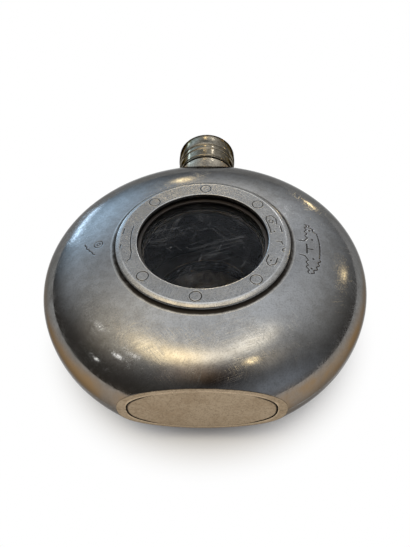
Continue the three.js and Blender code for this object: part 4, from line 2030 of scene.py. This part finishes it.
@dataclass
class Studio:
    """The pale floor, the soft lights and the camera.

    Attributes:
        ambient: Light from everywhere.
        glows: The soft lights.
        floor_radius: Radius of the floor.
        floor_colour: Colour of the floor.
        white_from: Distance from the body's axis where the floor starts to fade to plain white.
        white_at: Distance where it is plain white.
        azimuth: Where the camera looks, in degrees from +Y towards +X.
        elevation: How far the camera looks down, in degrees.
        roll: How far the camera is turned about its line of sight, in degrees.
        distance: From the camera to the point that it looks at.
        aim: That point from the middle of the body, to the right and up in the picture.
        lens: Focal length, in millimetres on a sensor 36 mm high.
    """

    ambient: Colour = (0.105, 0.095, 0.084)
    glows: tuple[Glow, ...] = (
        # The broad light overhead and the bent strip of lights in front of it.
        Glow(15, 95, 27, 1.6, (0.985, 1.03, 1.1)),
        *strip(WARM_STRIP, width=5.5, strength=2.3, colour=WARM),
        *strip(PALE_STRIP, width=5.0, strength=1.7, colour=PALE),
        Glow(23, 258, 9, 0.45, (1.0, 0.6, 0.28)),
        # Cool light from low on the far left, with three bright bars.
        Glow(76, 122, 13, 2.0, (0.6, 0.88, 1.2)),
        Glow(89, 121, 2.2, 11.0, COOL),
        Glow(86, 125.5, 2.2, 11.0, COOL),
        Glow(83, 130, 2.2, 11.0, COOL),
        Glow(62, 146, 14, 0.55, (0.9, 0.98, 1.08)),
        # The light behind the cap, and dark patches.
        Glow(64, 72, 28, 1.0, (0.95, 1.0, 1.08)),
        Glow(63, 86, 9, 1.0, (1.0, 0.95, 0.85)),
        Glow(43, 91, 11, -1.05),
        Glow(29, 280, 12, -0.32),
        Glow(44, 61, 7, -0.35),
        # Weak light from the sides.
        Glow(36, 178, 14, 0.7, (1.0, 0.86, 0.62)),
        Glow(30, 148, 10, 0.35, (1.0, 0.87, 0.62)),
        Glow(26, 116, 8, 0.16, (1.0, 0.65, 0.15)),
        Glow(30, 330, 8, 0.5, (1.0, 0.82, 0.58)),
        Glow(46, 15, 18, 0.3),
        Glow(72, 312, 22, 0.5, (0.85, 0.95, 1.12)),
        # Small lamps, for the bright points on the metal.
        Glow(25, 320, 2.0, 7.0, WARM),
        Glow(70, 33, 2.0, 9.0, WARM),
        Glow(87, 64, 1.2, 26.0, WARM),
        Glow(77, 96.5, 1.8, 9.0, WARM),
        Glow(58, 94, 1.9, 13.0, WARM),
        Glow(58, 72, 1.6, 15.0),
        Glow(43, 172, 1.2, 7.0),
        Glow(43, 200, 1.2, 7.0),
        Glow(33, 202, 1.2, 6.0),
        Glow(64, 199, 1.1, 7.5),
    )
    floor_radius: float = 3.0
    floor_colour: Colour = (0.93, 0.95, 0.98)
    white_from: float = 33 * MM
    white_at: float = 50 * MM
    azimuth: float = -2.603
    elevation: float = 48.874
    roll: float = -2.311
    distance: float = 144.8 * MM
    aim: Point = (0.146 * MM, 1.932 * MM)
    lens: float = 34.79

    FLOOR_DROP = 0.02 * MM
    FLOOR_COLUMNS = 128
    PAPER_ROUGHNESS = 0.9
    PAPER_SHINE = 0.1
    NEAREST = 0.01

    def lay_floor(self) -> None:
        """Adds the floor, a plain disc of matt paper."""
        angles = evenly(self.FLOOR_COLUMNS)
        disc = np.stack([np.cos(angles), np.sin(angles)], axis=-1)
        mesh = bpy.data.meshes.new("floor")
        places = [(x * self.floor_radius, y * self.floor_radius, -self.FLOOR_DROP) for x, y in disc]
        mesh.from_pydata(places, [], [list(range(len(places)))])
        floor = bpy.data.objects.new("floor", mesh)
        bpy.context.scene.collection.objects.link(floor)
        mesh.materials.append(self.paper())

    def paper(self) -> bpy.types.Material:
        """Makes the floor's matt paper, which keeps the flask's shadow and is plain white further out.

        Returns:
            The material.
        """
        material, nodes, shader = new_material("floor_paper")
        wired = {
            "Base Color": opaque(self.floor_colour), "Roughness": self.PAPER_ROUGHNESS,
            "Specular IOR Level": self.PAPER_SHINE,
        }
        nodes.feed(shader, wired)
        wired = {0: nodes.place(), 1: (MIDDLE[0], MIDDLE[1], 0.0)}
        away = nodes.add("ShaderNodeVectorMath", wired, operation="DISTANCE").outputs["Value"]
        ray = nodes.add("ShaderNodeLightPath").outputs
        seen = nodes.math("MAXIMUM", ray["Is Camera Ray"], ray["Is Glossy Ray"])
        seen = nodes.math("MAXIMUM", seen, ray["Is Transmission Ray"])
        share = nodes.math("MULTIPLY", nodes.rise(away, self.white_from, self.white_at), seen)
        white = nodes.add("ShaderNodeEmission", {"Strength": 1.0})
        wired = {0: share, 1: shader.outputs["BSDF"], 2: white.outputs["Emission"]}
        mixed = nodes.add("ShaderNodeMixShader", wired).outputs["Shader"]
        nodes.feed(nodes.tree.nodes["Material Output"], {"Surface": mixed})
        return material

    def light(self) -> None:
        """Lights the studio with soft glows round the flask."""
        world = bpy.data.worlds.new("studio")
        bpy.context.scene.world = world
        world.use_nodes = True
        nodes = Nodes(world.node_tree)
        way = nodes.add("ShaderNodeTexCoord").outputs["Generated"]
        total = None
        for glow in self.glows:
            wired = {0: way, 1: glow.direction()}
            facing = nodes.add("ShaderNodeVectorMath", wired, operation="DOT_PRODUCT").outputs["Value"]
            falling = nodes.math("MULTIPLY_ADD", facing, glow.sharpness(), -glow.sharpness())
            strength = nodes.math("MULTIPLY", nodes.math("EXPONENT", falling), glow.strength)
            start = total if total is not None else self.ambient
            wired = {0: strength, 1: glow.colour, 2: start}
            total = nodes.add("ShaderNodeVectorMath", wired, operation="MULTIPLY_ADD").outputs[0]
        nodes.feed(world.node_tree.nodes["Background"], {"Color": total})

    def set_camera(self) -> None:
        """Puts the camera where the photograph was taken from."""
        turn, tilt, roll = (math.radians(a) for a in (self.azimuth, self.elevation, self.roll))
        ahead = Vector((math.sin(turn) * math.cos(tilt), math.cos(turn) * math.cos(tilt), -math.sin(tilt)))
        level = Vector((ahead.y, -ahead.x, 0)).normalized()
        upright = level.cross(ahead)
        right = level * math.cos(roll) + upright * math.sin(roll)
        up = upright * math.cos(roll) - level * math.sin(roll)
        data = bpy.data.cameras.new("camera")
        data.lens = self.lens
        data.clip_start = self.NEAREST
        camera = bpy.data.objects.new("camera", data)
        bpy.context.scene.collection.objects.link(camera)
        aim = Vector(MIDDLE) + right * self.aim[0] + up * self.aim[1]
        rotation = Matrix((right, up, -ahead)).transposed().to_4x4()
        camera.matrix_world = Matrix.Translation(aim - ahead * self.distance) @ rotation
        bpy.context.scene.camera = camera

    def build(self) -> None:
        """Sets up the studio."""
        self.lay_floor()
        self.light()
        self.set_camera()
        bpy.context.scene.view_settings.view_transform = "Standard"


def main() -> None:
    """Builds the studio and every piece of the flask, in order."""
    logging.basicConfig(level=logging.INFO, format="%(name)s: %(message)s")
    Studio().build()
    finishes = Finishes()
    BodyShell(Side.FRONT, ornament=BODY_ORNAMENT).build(finishes)
    BodyShell(Side.BACK).build(finishes)
    FootPlate().build(finishes)
    Porthole(Side.FRONT, ornament=BEZEL_ORNAMENT).build(finishes)
    Porthole(Side.BACK).build(finishes)
    Neck().build(finishes)
    Cap().build(finishes)


if __name__ == "__main__":
    main()
